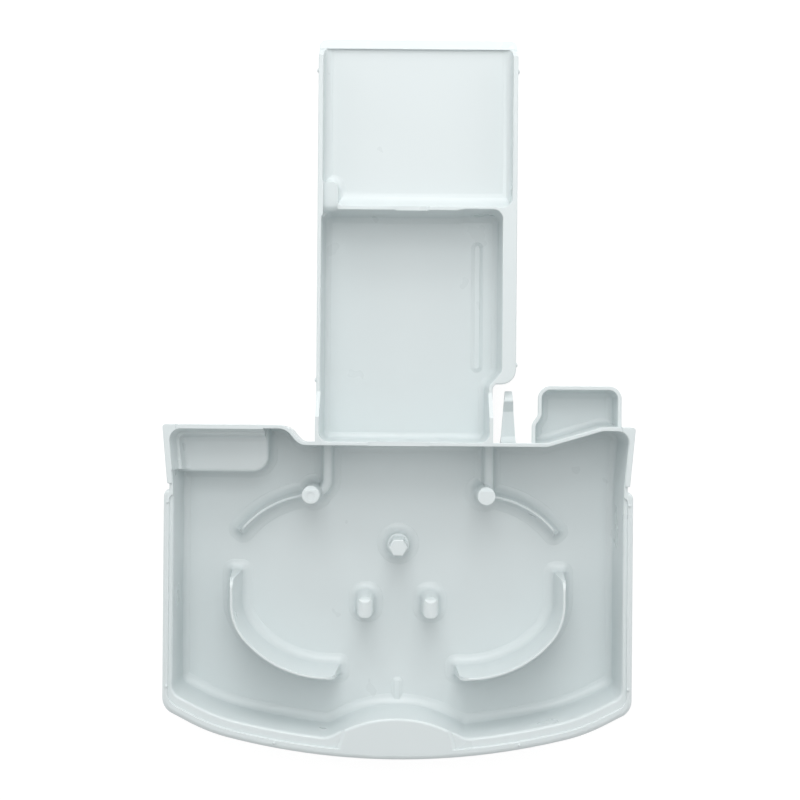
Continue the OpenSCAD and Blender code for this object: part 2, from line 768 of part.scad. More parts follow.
module solids() {
    lip();
    loft(basin_outline, shell_levels(floor_z, tray_h, root_r, lean));
    wing();
    mirror([1, 0, 0])
        wing();
    flange();
    loft(mid_outline(back_y - 10), shell_levels(floor_z, tray_h, mid_root, lean));
    rear_block();
    bumps();
    loft(pocket_outline, shell_levels(pocket_floor, pocket_h, pocket_root, lean));
    finger();
}

// What is taken out of them
module basin_hollow() {
    difference() {
        loft(basin_outline, hollow_levels(floor_z, wing_z, root_r, lean));
        shelf();
        round_posts();
        hexagon_post();
        wedge_posts();
        tall_rib();
        low_rib();
        mirror([1, 0, 0]) {
            tall_rib();
            low_rib();
        }
        webs();
        beads();
    }
}

module grid_ledge() {
    difference() {
        loft(grid_outline, [[ledge_z, 0], [tray_h + over, 0]]);
        grip_top();
    }
}

module mid_hollow() {
    difference() {
        loft(mid_outline(back_y), hollow_levels(floor_z, tray_h, mid_root, lean));
        beads();
    }
}

module rear_hollow() {
    behind = rear_back + rear_root + 2;
    corners = [
        [-rear_left + spill_w, rear_front, 3],
        [rear_right, rear_front, 5],
        [rear_right, behind, 1],
        [-rear_left, behind, 1],
        [-rear_left, rear_front + spill_l, 1],
        [-rear_left + spill_w, rear_front + spill_l, 3]
    ];
    intersection() {
        loft(corners, hollow_levels(rear_floor, tongue_h, rear_root, rear_slant));
        translate([-basin_w / 2, 0, 0])
            cube([basin_w, rear_back, tray_h * 2]);
    }
}

// The sweep from the rear pan's floor up to the divider, seen from the side
module sweep() {
    translate([-rear_left, rear_front, rear_floor - sink])
        rotate([90, 0, 90])
            linear_extrude(height = rear_left + rear_right)
                polygon(concat(
                    [[-over, -over], [sweep_r, -over]],
                    [for (a = [0:15:75]) sweep_r * [1 - sin(a), 1 - cos(a)]],
                    [[0, sweep_r], [-over, sweep_r]]
                ));
}

// The low corner where the rear pan spills into the middle pan, seen from the side
module spill() {
    z = rear_floor + spill_h;
    r = spill_r;
    y = mid_back - 0.6;
    translate([-rear_left + rear_slant, 0, 0])
        rotate([90, 0, 90])
            linear_extrude(height = spill_w)
                polygon(concat(
                    [[y - 3, tongue_h + over], [y - 3, z - r]],
                    [for (a = [0:30:90]) [y + r * (1 - cos(a)), z - r + r * sin(a)]],
                    [[rear_front + spill_l + over, z], [rear_front + spill_l + over, tongue_h + over]]
                ));
}

// Everything above the side rims of the tongue, seen from the side
module tongue_headroom() {
    lip_top = rear_floor + rear_lip;
    translate([-mid_left - 2 * wall, 0, 0])
        rotate([90, 0, 90])
            linear_extrude(height = mid_left + flange_out + 4 * wall)
                polygon([
                    [ramp_top_y, tray_h + over],
                    [ramp_top_y, tray_h],
                    [ramp_top_y + ramp_l, tongue_h],
                    [rear_back - drop_l, tongue_h],
                    [rear_back - 0.4, lip_top],
                    [rear_back + 0.6, lip_top],
                    [rear_outer, rear_under + 0.6],
                    [rear_outer + 10, rear_under + 0.6],
                    [rear_outer + 10, tray_h + over]
                ]);
}

module notches() {
    translate([-weir_w / 2, back_in - over, tray_h - weir_d])
        cube([weir_w, wall + 2 * over, weir_d + over]);
    translate([divider_weir_x - divider_weir_w / 2, mid_back - over, tongue_h - weir_d])
        cube([divider_weir_w, divider_t + 2 * over, weir_d + over]);
}

module pips() {
    bow_in = lip_edge + 0.5;
    for (s = [-1, 1]) {
        for (y = [-pip_y, pip_y])
            translate([s * (basin_w / 2 - lip_edge), y, tray_h])
                sphere(pip_r, $fn = 12);
        translate([s * pip_x, bow_y - sqrt((bow_r - bow_in) * (bow_r - bow_in) - pip_x * pip_x), tray_h])
            sphere(pip_r, $fn = 12);
    }
}

module drip_tray() {
    color(plastic) {
        difference() {
            solids();
            basin_hollow();
            grid_ledge();
            mid_hollow();
            difference() {
                rear_hollow();
                sweep();
            }
            spill();
            loft(pocket_outline, hollow_levels(pocket_floor, pocket_h, pocket_root, lean));
            tongue_headroom();
            notches();
            loft(shelf_outline(wall), [[-over, 0], [shelf_h - wall, 0]]);
        }
        pips();
    }
}

drip_tray();
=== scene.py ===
import bmesh
import bpy
import math
from mathutils import Matrix, Vector


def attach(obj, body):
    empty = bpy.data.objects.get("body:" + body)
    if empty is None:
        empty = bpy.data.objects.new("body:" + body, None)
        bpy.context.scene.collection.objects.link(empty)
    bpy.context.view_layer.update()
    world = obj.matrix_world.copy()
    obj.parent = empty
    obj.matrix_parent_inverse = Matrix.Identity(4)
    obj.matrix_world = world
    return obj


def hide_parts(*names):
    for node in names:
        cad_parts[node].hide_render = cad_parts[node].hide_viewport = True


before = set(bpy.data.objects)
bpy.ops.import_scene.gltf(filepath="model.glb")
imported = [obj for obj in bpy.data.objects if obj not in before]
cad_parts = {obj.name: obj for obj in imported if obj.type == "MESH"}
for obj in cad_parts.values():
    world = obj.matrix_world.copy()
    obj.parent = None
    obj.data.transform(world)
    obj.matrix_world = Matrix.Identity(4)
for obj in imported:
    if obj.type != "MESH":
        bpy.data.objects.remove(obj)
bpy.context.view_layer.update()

# The drip tray is one moulding. Its solids are drawn in millimetres, joined and hollowed as closed
# meshes, and the finished mesh is brought to metres once, at the end.
MM = 0.001
OVER = 1.0           # how far a cut runs past the face it opens
SINK = 0.05          # how far a foot sinks into the floor
FILLET_STEPS = 8     # facets in a quarter turn of a fillet
EDGE_STEPS = 4       # facets in a quarter turn of a small edge
CHORD = 0.008        # how far a facet of an arc may lie from the true curve

# Shell
WALL = 2.0
TRAY_H = 40.0
LEAN = 0.9
ROOT_R = 3.4
FRONT_LEAN = 1.4
FOOT_R = 5.0
POST_FOOT_R = 4.7
RIM_R = 0.4
FOOT_STEP = 0.22     # the small step that the mould leaves round feet and roots
STEP_BEVEL = 0.7     # where the step's bevel starts, as a share of the step

# Basin, lip and grid ledge
BASIN_W = 240.0
FRONT_Y = 83.8
BACK_Y = 78.5
BOW_R = 354.0
BOW_SLOPE = 13.4
SHOULDER_SLOPE = 27.5
SHOULDER_IN = 24.0
SHOULDER_R = 92.0
CORNER_R = 9.0
INNER_R = 6.0
LIP_SIDE = 3.0
LIP_FRONT = 4.3
SIDE_MARGIN = 5.0
FRONT_MARGIN = 9.1
LIP_RISE = 1.5
LIP_EDGE = 2.2
SKIRT_H = 10.0
LEDGE_EDGE = 1.3
PIP_R = 0.8
PIP_Y = 47.0
PIP_X = 62.5

# Back of the basin
WING_Y = 56.5
WING_RISE = 1.0
WING_FLARE = 2.8
WING_T = 3.0
WING_BAND = 10.0
WING_BACK = 6.9
WING_GAP = 2.5
BAY_DEPTH = 8.4
LEFT_BAY_X = 51.0
LEFT_BAY_RUN = 7.0
RIGHT_BAY_X = 76.0
RIGHT_BAY_RUN = 28.0
BEND_R = 8.0
WEIR_W = 32.0
WEIR_D = 1.5

# Shelf
SHELF_H = 19.0
SHELF_X = 68.0
SHELF_D = 25.0
SHELF_R = 8.5
SHELF_EDGE = 1.5
SHELF_LEAN = 2.0
SHELF_STEP = 1.5
SHELF_STEP_H = 8.0

# Finger grip
GRIP_D = 21.3
GRIP_R = 62.0
GRIP_TURN_R = 9.0
GRIP_SLOPE = 26.0
GRIP_W = 61.8
GRIP_SPLAY = 17.0
GRIP_BEVEL = 1.6
GRIP_EASE = 3.0
GRIP_TURN_START = 0.45

# Posts and ribs
POST_X = 45.0
POST_IN = 25.6
POST_R = 4.6
POST_H = 38.0
POST_LEAN = 0.3
POST_EDGE = 0.6
POST_CHORD = 0.55
SLANT_L = 30.0
SLANT_ANGLE = 55
MARK_R = 2.2
MARK_D = 0.3
MARK_BACK = 0.6
HEX_W = 9.8
HEX_H = 31.0
HEX_Y = 23.8
HEX_FOOT_R = 5.9
HEX_FOOT_H = 8.0
HEX_FOOT_EDGE = 0.8
HEX_EDGE = 0.7
HEX_CORNER_R = 0.6
WEDGE_X = 17.0
WEDGE_Y = 7.4
WEDGE_W = 9.4
WEDGE_L = 13.2
WEDGE_LEAN = 0.8
WEDGE_TAPER = 1.7
WEDGE_H = 30.0
WEDGE_RIDGE_R = 4.4
WEDGE_BACK_R = 3.4
WEDGE_FOOT_R = 4.0
WEDGE_EDGE = 0.15
WEDGE_ARCH_STEP = 12
RIB_T = 1.4
RIB_LEAN = 1.8
RIB_END_R = 5.0
RIB_EDGE = 0.4
RIB_CORNER_R = 0.6
TALL_RIB_H = 38.0
TALL_RIB_X = 85.2
TALL_RIB_Y = 42.6
TALL_RIB_GAP = 30.6
TALL_RIB_BACK = 9.5
TALL_RIB_R1 = 28.0
TALL_RIB_R2 = 57.0
LOW_RIB_H = 12.0
LOW_RIB_R = 52.4
LOW_RIB_TURN = 47.0
LOW_RIB_RUN = 2.0
LOW_RIB_START = 3.0
LOW_RIB_IN = 1.0
LOW_RIB_SHARE = 0.6   # of the tall rib's lean and end radius
WEB_T = 5.0
WEB_H = 13.0
WEB_ROOT = 3.6
WEB_SINK = 3.0
WEB_EDGE = 2
LEFT_WEB_X = 37.5
RIGHT_WEB_X = 47.4
BEAD_H = 0.8
BEAD_FOOT = 1.6
BEAD_EDGE = 0.12
BEAD_T = 2.6
BEAD_L = 15.0
BEAD_WAIST_Z = 0.4   # where a bead's foot is half as wide, as a share of its height

# Tongue
TONGUE_H = 30.0
MID_LEFT = 41.0
MID_RIGHT = 52.7
MID_NECK = 46.1
NECK_L = 29.0
NECK_RUN = 7.5
MID_L = 119.5
MID_ROOT = 3.0
MID_R = 5.0
FLANGE_R = 7.7
FLANGE_RIM = 8.0
BUMP_R = 1.4
BUMP_H = 5.0
RAMP_L = 13.0
RAMP_Y = 12.6
LONG_BEAD_IN = 11.9
LONG_BEAD_L = 68.0
LONG_BEAD_Y = 14.5

# Rear pan
DIVIDER_T = 2.1
DIVIDER_STEP = 0.7
DIVIDER_STEP_X = 29.0
REAR_L = 82.7
REAR_FLOOR = 19.0
REAR_LEFT = 40.5
REAR_RIGHT = 57.6
REAR_RIM = 2.5
REAR_ROOT = 4.0
REAR_SLANT = 0.3
SWEEP_R = 9.0
REAR_LIP = 1.6
DROP_L = 5.0
REAR_SLOPE_L = 5.6
SPILL_W = 7.5
SPILL_L = 12.5
SPILL_H = 5.0
SPILL_R = 3.5
DIVIDER_WEIR_W = 17.0
DIVIDER_WEIR_X = 5.5

# Side pocket and latch finger
POCKET_H = 36.0
POCKET_D = 16.0
POCKET_LEFT = 73.0
POCKET_STEP = 3.1
POCKET_RIGHT = 112.0
POCKET_L = 27.3
POCKET_R = 4.6
POCKET_ROOT = 3.4
FINGER_X = 56.6
FINGER_L = 26.5
FINGER_W = 8.0
FINGER_TIP = 3.8
FINGER_H = 24.0
FINGER_T = 2.4
CATCH_H = 3.0

# Worked out from the sizes above
FLOOR_Z = WALL
LEDGE_Z = TRAY_H - LIP_RISE
WING_Z = TRAY_H + WING_RISE
BOW_Y = BOW_R - FRONT_Y
BACK_IN = BACK_Y - WALL
BAY_IN = BACK_IN + BAY_DEPTH
HALF_W = BASIN_W / 2
HALF_IN = HALF_W - SIDE_MARGIN
POST_Y = BACK_IN - POST_IN
MID_BACK = BACK_Y + MID_L
REAR_FRONT = MID_BACK + DIVIDER_T
REAR_BACK = REAR_FRONT + REAR_L
REAR_OUTER = REAR_BACK + REAR_SLOPE_L
REAR_UNDER = REAR_FLOOR - WALL
FLANGE_OUT = REAR_RIGHT + REAR_RIM
FLANGE_FRONT = BACK_Y + NECK_L + OVER
RAMP_TOP_Y = BACK_Y + RAMP_Y
RAMP_FOOT_Y = RAMP_TOP_Y + RAMP_L
POCKET_FLOOR = POCKET_H - POCKET_D
GRIP_CREST = -FRONT_Y + GRIP_D
GRIP_APEX = GRIP_CREST + GRIP_R * (1 / math.cos(math.radians(GRIP_SLOPE)) - 1)


# Plane geometry on outlines. An outline is a list of corners, anticlockwise from above. A corner is
# (x, y, radius), or (x, y, radius, k) where the side that starts there moves inwards k times as far.

def sin(degrees):
    return math.sin(math.radians(degrees))


def cos(degrees):
    return math.cos(math.radians(degrees))


def heading(degrees):
    return Vector((cos(degrees), sin(degrees)))


def xy(corner):
    return Vector((corner[0], corner[1]))


def left_of(v):
    return Vector((-v.y, v.x))


def cross(a, b):
    return a.x * b.y - a.y * b.x


def turned(v, degrees):
    return Vector((v.x * cos(degrees) - v.y * sin(degrees), v.x * sin(degrees) + v.y * cos(degrees)))


def meet(p, u, q, v):
    """The point where the line through p along u meets the line through q along v."""
    return p + u * (cross(q - p, v) / cross(u, v))


def share(corner, inset):
    return inset * corner[3] if inset > 0 and len(corner) > 3 else inset


def arc_facets(radius, turn):
    """How many facets an arc of this radius and turn in degrees needs."""
    if radius < 0.35:
        return 2
    one = 2 * math.degrees(math.acos(1 - min(CHORD / radius, 1)))
    return max(3, math.ceil(turn / min(max(one, 1.2), 12)))


def corner_points(before, corner, after, inset):
    u = (xy(corner) - xy(before)).normalized()
    v = (xy(after) - xy(corner)).normalized()
    side = 1 if cross(u, v) > 0 else -1
    turn = math.degrees(math.acos(max(-1, min(1, u.dot(v)))))
    tip = meet(xy(corner) + left_of(u) * share(before, inset), u,
               xy(corner) + left_of(v) * share(corner, inset), v)
    radius = max(corner[2] - side * inset, 0.1)
    first = tip - u * radius * math.tan(math.radians(turn / 2))
    centre = first + left_of(u) * radius * side
    facets = arc_facets(corner[2], turn)
    return [centre + turned(first - centre, side * turn * k / facets) for k in range(facets + 1)]


def outline(corners, inset):
    count = len(corners)
    points = []
    for i, corner in enumerate(corners):
        points += corner_points(corners[i - 1], corner, corners[(i + 1) % count], inset)
    return points


def rectangle(x0, x1, y0, y1, r):
    return [(x0, y0, r), (x1, y0, r), (x1, y1, r), (x0, y1, r)]


def quarter(steps):
    """The angles of a quarter turn, in degrees."""
    return [90 * k / steps for k in range(steps + 1)]


# Levels of a loft: pairs of a height and how far the outline has moved inwards there

def root_levels(z0, r, slant):
    """A rounded root, with the small step that the mould leaves between it and the floor."""
    bevel = STEP_BEVEL * FOOT_STEP
    levels = [(z0, slant + r + FOOT_STEP), (z0 + bevel, slant + r + bevel)]
    for a in quarter(FILLET_STEPS):
        levels.append((z0 + FOOT_STEP + r * (1 - cos(a)), slant + r * (1 - sin(a))))
    return levels


def flare_levels(z1, r, slant=0.0):
    """The rounded inner edge at the top of a hollow."""
    edge = [(z1 - r * (1 - sin(a)), slant - r * (1 - cos(a))) for a in quarter(EDGE_STEPS)]
    return edge + [(z1 + 3 * OVER, slant - r)]


def hollow_levels(z0, z1, r, slant, rim=RIM_R):
    return root_levels(z0, r, slant) + flare_levels(z1, rim)


def shell_levels(z0, z1, r, slant, rim=RIM_R):
    under = [(z0 + r - (r + WALL) * cos(a), slant + r - (r + WALL) * sin(a)) for a in quarter(FILLET_STEPS)]
    return under + upper_edge(z1, rim, -WALL)


def foot_levels(z0, r):
    """A flared foot, with the small step round it that the mould leaves on the floor."""
    bevel = STEP_BEVEL * FOOT_STEP
    levels = [(z0 - OVER, -r - FOOT_STEP), (z0, -r - FOOT_STEP), (z0 + bevel, -r - bevel)]
    for a in quarter(FILLET_STEPS):
        levels.append((z0 + FOOT_STEP + r * (1 - cos(a)), -r * (1 - sin(a))))
    return levels


def lower_edge(z0, r):
    return [(z0 + r * (1 - cos(a)), r * (1 - sin(a))) for a in quarter(EDGE_STEPS)]


def upper_edge(z1, r, slant):
    return [(z1 - r + r * sin(a), slant + r * (1 - cos(a))) for a in quarter(EDGE_STEPS)]


# Closed meshes

def new_solid(name, points, faces):
    mesh = bpy.data.meshes.new(name)
    mesh.from_pydata(points, [], faces)
    solid = bpy.data.objects.new(name, mesh)
    bpy.context.scene.collection.objects.link(solid)
    work = bmesh.new()
    work.from_mesh(mesh)
    bmesh.ops.recalc_face_normals(work, faces=work.faces)
    work.normal_update()
    bmesh.ops.triangulate(work, faces=work.faces, ngon_method="EAR_CLIP")
    work.to_mesh(mesh)
    work.free()
    return solid


def stacked(name, rings):
    """A solid from rings of points that all have the same count."""
    count = len(rings[0])
    points = [p for ring in rings for p in ring]
    faces = []
    for j in range(len(rings) - 1):
        for i in range(count):
            k = (i + 1) % count
            faces.append((j * count + i, j * count + k, (j + 1) * count + k, (j + 1) * count + i))
    faces.append(tuple(range(count - 1, -1, -1)))
    faces.append(tuple((len(rings) - 1) * count + i for i in range(count)))
    return new_solid(name, points, faces)


def loft(name, corners, levels):
    return stacked(name, [[(p.x, p.y, z) for p in outline(corners, inset)] for z, inset in levels])


def lathe(name, at, half, facets=64):
    """A round solid from half of its section, given as pairs of a radius and a height."""
    rings = []
    for k in range(facets):
        a = 360 * k / facets
        rings.append([(at[0] + r * cos(a), at[1] + r * sin(a), z) for r, z in half[1:-1]])
    count = len(rings[0])
    points = [p for ring in rings for p in ring]
    bottom, top = len(points), len(points) + 1
    points += [(at[0], at[1], half[0][1]), (at[0], at[1], half[-1][1])]
    faces = []
    for k in range(facets):
        here, there = k * count, (k + 1) % facets * count
        faces.append((bottom, there, here))
        faces.append((top, here + count - 1, there + count - 1))
        for i in range(count - 1):
            faces.append((here + i, there + i, there + i + 1, here + i + 1))
    return new_solid(name, points, faces)


def side_prism(name, x0, x1, section):
    """A prism along the width, from a section of pairs of a y and a height."""
    return stacked(name, [[(x, y, z) for y, z in section] for x in (x0, x1)])


def box(name, x0, x1, y0, y1, z0, z1):
    return side_prism(name, x0, x1, [(y0, z0), (y1, z0), (y1, z1), (y0, z1)])


def combine(solid, operation, others):
    """Joins, cuts or intersects a solid with others, which are used up."""
    for other in others:
        step = solid.modifiers.new("step", "BOOLEAN")
        step.object = other
        step.operation = operation
        step.solver = "MANIFOLD"
    graph = bpy.context.evaluated_depsgraph_get()
    mesh = bpy.data.meshes.new_from_object(solid.evaluated_get(graph))
    solid.modifiers.clear()
    old = solid.data
    solid.data = mesh
    bpy.data.meshes.remove(old)
    for other in others:
        spent = other.data
        bpy.data.objects.remove(other)
        bpy.data.meshes.remove(spent)
    return solid


def join(solid, *others):
    return combine(solid, "UNION", others)


def cut(solid, *others):
    return combine(solid, "DIFFERENCE", others)


def keep(solid, other):
    return combine(solid, "INTERSECT", [other])


# Outlines of the tray

def bow_tip(a, b, r):
    """The tip between two tangents of the bow, whose slopes are a and b, for a bow of radius r."""
    middle = (a + b) / 2
    return Vector((0, BOW_Y)) + Vector((sin(middle), -cos(middle))) * (r / cos((b - a) / 2))


def front_right(side_in, front_in, r):
    """The right shoulder and front corner, moved in at the side and along the front."""
    u, v = heading(BOW_SLOPE), heading(SHOULDER_SLOPE)
    outer = meet(bow_tip(-BOW_SLOPE, BOW_SLOPE, BOW_R), u, Vector((HALF_W - SHOULDER_IN, 0)), Vector((0, 1)))
    shoulder = meet(bow_tip(-BOW_SLOPE, BOW_SLOPE, BOW_R - front_in), u, outer + left_of(v) * front_in, v)
    corner = meet(shoulder, v, Vector((HALF_W - side_in, 0)), Vector((0, 1)))
    return [(shoulder.x, shoulder.y, SHOULDER_R), (corner.x, corner.y, r)]


def both_sides(middle, right):
    """A row of corners that is the same on both sides of the middle one."""
    return [(-c[0], c[1], c[2]) for c in reversed(right)] + [middle] + right


def bowed(side_in, front_in, r):
    tip = bow_tip(-BOW_SLOPE, BOW_SLOPE, BOW_R - front_in)
    return both_sides((tip.x, tip.y, BOW_R - front_in), front_right(side_in, front_in, r))


def gripped_front():
    """The front wall inside the basin, with the bulge of the finger grip in its middle."""
    r = BOW_R - FRONT_MARGIN
    m = BOW_Y - GRIP_APEX
    t = math.tan(math.radians(GRIP_SLOPE))
    x = (math.sqrt(m * m * t * t - (1 + t * t) * (m * m - r * r)) - m * t) / (1 + t * t)
    slope = math.degrees(math.asin((x + GRIP_TURN_R * GRIP_TURN_START) / r))
    tip = bow_tip(slope, BOW_SLOPE, r)
    turn = meet(tip, heading(slope), Vector((0, GRIP_APEX)), heading(-GRIP_SLOPE))
    right = [(turn.x, turn.y, GRIP_TURN_R), (tip.x, tip.y, r)]
    right += front_right(SIDE_MARGIN, FRONT_MARGIN, INNER_R)
    corners = both_sides((0, GRIP_APEX, GRIP_R), right)
    return [c + (FRONT_LEAN,) for c in corners[:-1]] + [corners[-1]]


BASIN_OUTLINE = gripped_front() + [
    (HALF_IN, WING_Y, 20),
    (HALF_IN + WING_FLARE, BAY_IN, INNER_R),
    (RIGHT_BAY_X + RIGHT_BAY_RUN, BAY_IN, BEND_R),
    (RIGHT_BAY_X, BACK_IN, BEND_R),
    (-LEFT_BAY_X, BACK_IN, BEND_R),
    (-LEFT_BAY_X - LEFT_BAY_RUN, BAY_IN, BEND_R),
    (-HALF_IN - WING_FLARE, BAY_IN, INNER_R),
    (-HALF_IN, WING_Y, 20),
]

LIP_OUTLINE = bowed(0, 0, CORNER_R) + [
    (HALF_W, WING_Y - WING_GAP, 4),
    (-HALF_W, WING_Y - WING_GAP, 4),
]

GRID_OUTLINE = bowed(LIP_SIDE, LIP_FRONT, CORNER_R - LIP_SIDE / 2) + [
    (HALF_W - LIP_SIDE, WING_Y - WING_GAP - LIP_SIDE, LIP_SIDE),
    (-HALF_W + LIP_SIDE, WING_Y - WING_GAP - LIP_SIDE, LIP_SIDE),
]


def mid_outline(front):
    return [
        (-MID_LEFT, front, MID_R),
        (MID_NECK, front, MID_R),
        (MID_NECK, BACK_Y + NECK_L, MID_R),
        (MID_RIGHT, BACK_Y + NECK_L + NECK_RUN, MID_R),
        (MID_RIGHT, MID_BACK + DIVIDER_STEP, MID_R),
        (DIVIDER_STEP_X + 4, MID_BACK + DIVIDER_STEP, 3),
        (DIVIDER_STEP_X, MID_BACK, 3),
        (-MID_LEFT, MID_BACK, MID_R),
    ]


POCKET_OUTLINE = [
    (POCKET_LEFT - POCKET_STEP, BACK_Y, 0.5),
    (RIGHT_BAY_X, BACK_Y, BEND_R),
    (RIGHT_BAY_X + RIGHT_BAY_RUN, BACK_Y + BAY_DEPTH, BEND_R),
    (POCKET_RIGHT, BACK_Y + BAY_DEPTH, 0.5),
    (POCKET_RIGHT, BACK_Y + POCKET_L, POCKET_R),
    (POCKET_LEFT, BACK_Y + POCKET_L, POCKET_R),
    (POCKET_LEFT, BACK_Y + POCKET_L / 2, POCKET_R),
    (POCKET_LEFT - POCKET_STEP, BACK_Y + POCKET_L / 3, POCKET_R),
]


def shelf_outline(inset):
    return rectangle(-BASIN_W, -SHELF_X - inset, BAY_IN + WALL - SHELF_D + inset, BAY_IN + 20, SHELF_R)


def ribbon(path, t, end_r):
    """The outline of a rib that follows a path of corners, t to each side."""
    last = len(path) - 1
    sides = []
    for side in (-1, 1):
        row = []
        for i, corner in enumerate(path):
            p, d = xy(corner), side * t
            u = (p - xy(path[i - 1])).normalized() if i else (xy(path[1]) - p).normalized()
            if 0 < i < last:
                v = (xy(path[i + 1]) - p).normalized()
                q = meet(p + left_of(u) * d, u, p + left_of(v) * d, v)
                row.append((q.x, q.y, corner[2] - math.copysign(1, cross(u, v)) * d))
            else:
                q = p + left_of(u) * d
                row.append((q.x, q.y, end_r))
        sides.append(row)
    return sides[0] + sides[1][::-1]


# What stands in the basin

def rib(name, path, top_t, h, slant, root, top_r, end_r):
    levels = foot_levels(FLOOR_Z, root) + upper_edge(h, top_r, slant)
    return loft(name, ribbon(path, top_t / 2 + slant, end_r), levels)


def rib_end_cut(tip, direction, h, slant, end_r):
    """What is cut from the top of a free end, to round it over."""
    x0, z0 = -slant - end_r, h - end_r
    section = [(x0 + end_r * sin(a), z0 + end_r * cos(a)) for a in quarter(FILLET_STEPS)]
    section += [(x0 + end_r + slant + OVER, z0), (x0 + end_r + slant + OVER, h + OVER), (x0, h + OVER)]
    half_w = RIB_T / 2 + slant + OVER
    along, across = heading(direction), left_of(heading(direction))
    rings = []
    for side in (-half_w, half_w):
        rings.append([(*(tip + along * x + across * side), z) for x, z in section])
    return stacked("rib_end_cut", rings)


def mirrored(corner):
    return (-corner[0], *corner[1:])


def tall_rib(side):
    centre = Vector((-TALL_RIB_GAP - 5, -TALL_RIB_Y + TALL_RIB_R2))
    run = TALL_RIB_X - TALL_RIB_R1 + centre.x
    turn = math.degrees(math.acos(run / (TALL_RIB_R2 - TALL_RIB_R1)))
    joint = centre - heading(turn) * TALL_RIB_R2
    slope = Vector((sin(turn), -cos(turn)))
    back = Vector((-TALL_RIB_X, TALL_RIB_BACK))
    front = Vector((-TALL_RIB_GAP, -TALL_RIB_Y))
    bend_1 = meet(back, Vector((0, -1)), joint, slope)
    bend_2 = meet(front, Vector((-1, 0)), joint, slope)
    path = [(*back, 0), (*bend_1, TALL_RIB_R1), (*bend_2, TALL_RIB_R2), (*front, 0)]
    front_direction = 0
    if side > 0:
        path = [mirrored(c) for c in path]
        front_direction = 180
    solid = rib("tall_rib", path, RIB_T, TALL_RIB_H, RIB_LEAN, FOOT_R, RIB_EDGE, RIB_CORNER_R)
    return cut(
        solid,
        rib_end_cut(xy(path[0]), 90, TALL_RIB_H, RIB_LEAN, RIB_END_R),
        rib_end_cut(xy(path[-1]), front_direction, TALL_RIB_H, RIB_LEAN, RIB_END_R),
    )


def low_rib(side):
    slant = RIB_LEAN * LOW_RIB_SHARE
    start = Vector((-POST_X, POST_Y - LOW_RIB_IN))
    first = Vector((-cos(LOW_RIB_START), -sin(LOW_RIB_START)))
    last = turned(first, LOW_RIB_TURN)
    reach = LOW_RIB_R * math.tan(math.radians(LOW_RIB_TURN / 2))
    bend = start + first * reach
    tip = bend + last * (reach + LOW_RIB_RUN)
    path = [(*(start - first * LOW_RIB_RUN), 0), (*bend, LOW_RIB_R), (*tip, 0)]
    direction = math.degrees(math.atan2(last.y, last.x))
    if side > 0:
        path = [mirrored(c) for c in path]
        direction = 180 - direction
    solid = rib("low_rib", path, RIB_T, LOW_RIB_H, slant, FOOT_R, RIB_EDGE, RIB_CORNER_R)
    return cut(solid, rib_end_cut(xy(path[-1]), direction, LOW_RIB_H, slant, RIB_END_R * LOW_RIB_SHARE))


def webs():
    bend = POST_X - LEFT_WEB_X
    left_path = [(-LEFT_WEB_X, BACK_Y, 0), (-LEFT_WEB_X, POST_Y, bend - 0.5), (-POST_X - WEB_SINK, POST_Y, 0)]
    right_path = [(RIGHT_WEB_X, BACK_Y, 0), (RIGHT_WEB_X, POST_Y, 0)]
    paths = (left_path, right_path)
    return [rib("web", path, WEB_T, WEB_H, LEAN / 2, WEB_ROOT, WEB_EDGE, 1) for path in paths]


def half_section(half_t, z0, z1, slant, r, top_r):
    """Half of the section of a round post, with a flared foot and a rounded top."""
    section = [(0, z0 - OVER)] + [(half_t + slant - inset, z) for z, inset in foot_levels(z0, r)]
    section += [(half_t - top_r + top_r * cos(a), z1 - top_r + top_r * sin(a)) for a in quarter(EDGE_STEPS)]
    return section + [(0, z1)]


def round_post(side):
    """A round post whose back is cut off at a slant. The left one has a shallow ejector mark."""
    x = side * POST_X
    half = half_section(POST_R, FLOOR_Z, POST_H, POST_LEAN, POST_FOOT_R, POST_EDGE)
    post = lathe("round_post", (x, POST_Y), half)
    chord, above = POST_Y + POST_R * POST_CHORD, POST_H + 5
    low = POST_H - SLANT_L * sin(SLANT_ANGLE)
    slanted = [(chord, above), (chord, POST_H), (chord + SLANT_L * cos(SLANT_ANGLE), low),
               (chord + SLANT_L, low), (chord + SLANT_L, above)]
    cuts = [side_prism("slant", x - 2 * POST_R, x + 2 * POST_R, slanted)]
    if side < 0:
        base, over = POST_H - MARK_D, POST_H + OVER
        dish = [(0, base), (MARK_R, base), (MARK_R + 0.2, over), (0, over)]
        cuts.append(lathe("mark", (x, POST_Y - MARK_BACK), dish, 40))
    return cut(post, *cuts)


def hexagon_post():
    corners = [(HEX_W / 2 * cos(a), HEX_Y + HEX_W / 2 * sin(a), HEX_CORNER_R) for a in range(0, 360, 60)]
    half = half_section(HEX_FOOT_R, FLOOR_Z, FLOOR_Z + HEX_FOOT_H, 0.2, POST_FOOT_R, HEX_FOOT_EDGE)
    foot = lathe("hexagon_foot", (0, HEX_Y), half)
    post = loft("hexagon_post", corners, [(FLOOR_Z, -0.3)] + upper_edge(HEX_H, HEX_EDGE, 0))
    return join(foot, post)


def arch_prism(x, near, far):
    """The rounded ridge of a wedge post, run along its length, with room at its sides below it."""
    r, spring = WEDGE_RIDGE_R, WEDGE_H - WEDGE_RIDGE_R
    arch = [(-r, -OVER)]
    arch += [(-r * cos(a), spring + r * sin(a)) for a in range(0, 181, WEDGE_ARCH_STEP)]
    arch += [(r, -OVER)]
    ridge = stacked("ridge", [[(x + u, y, z) for u, z in arch] for y in (near, far)])
    return join(ridge, box("below_ridge", x - 2 * WEDGE_W, x + 2 * WEDGE_W, near, far, -OVER, spring))


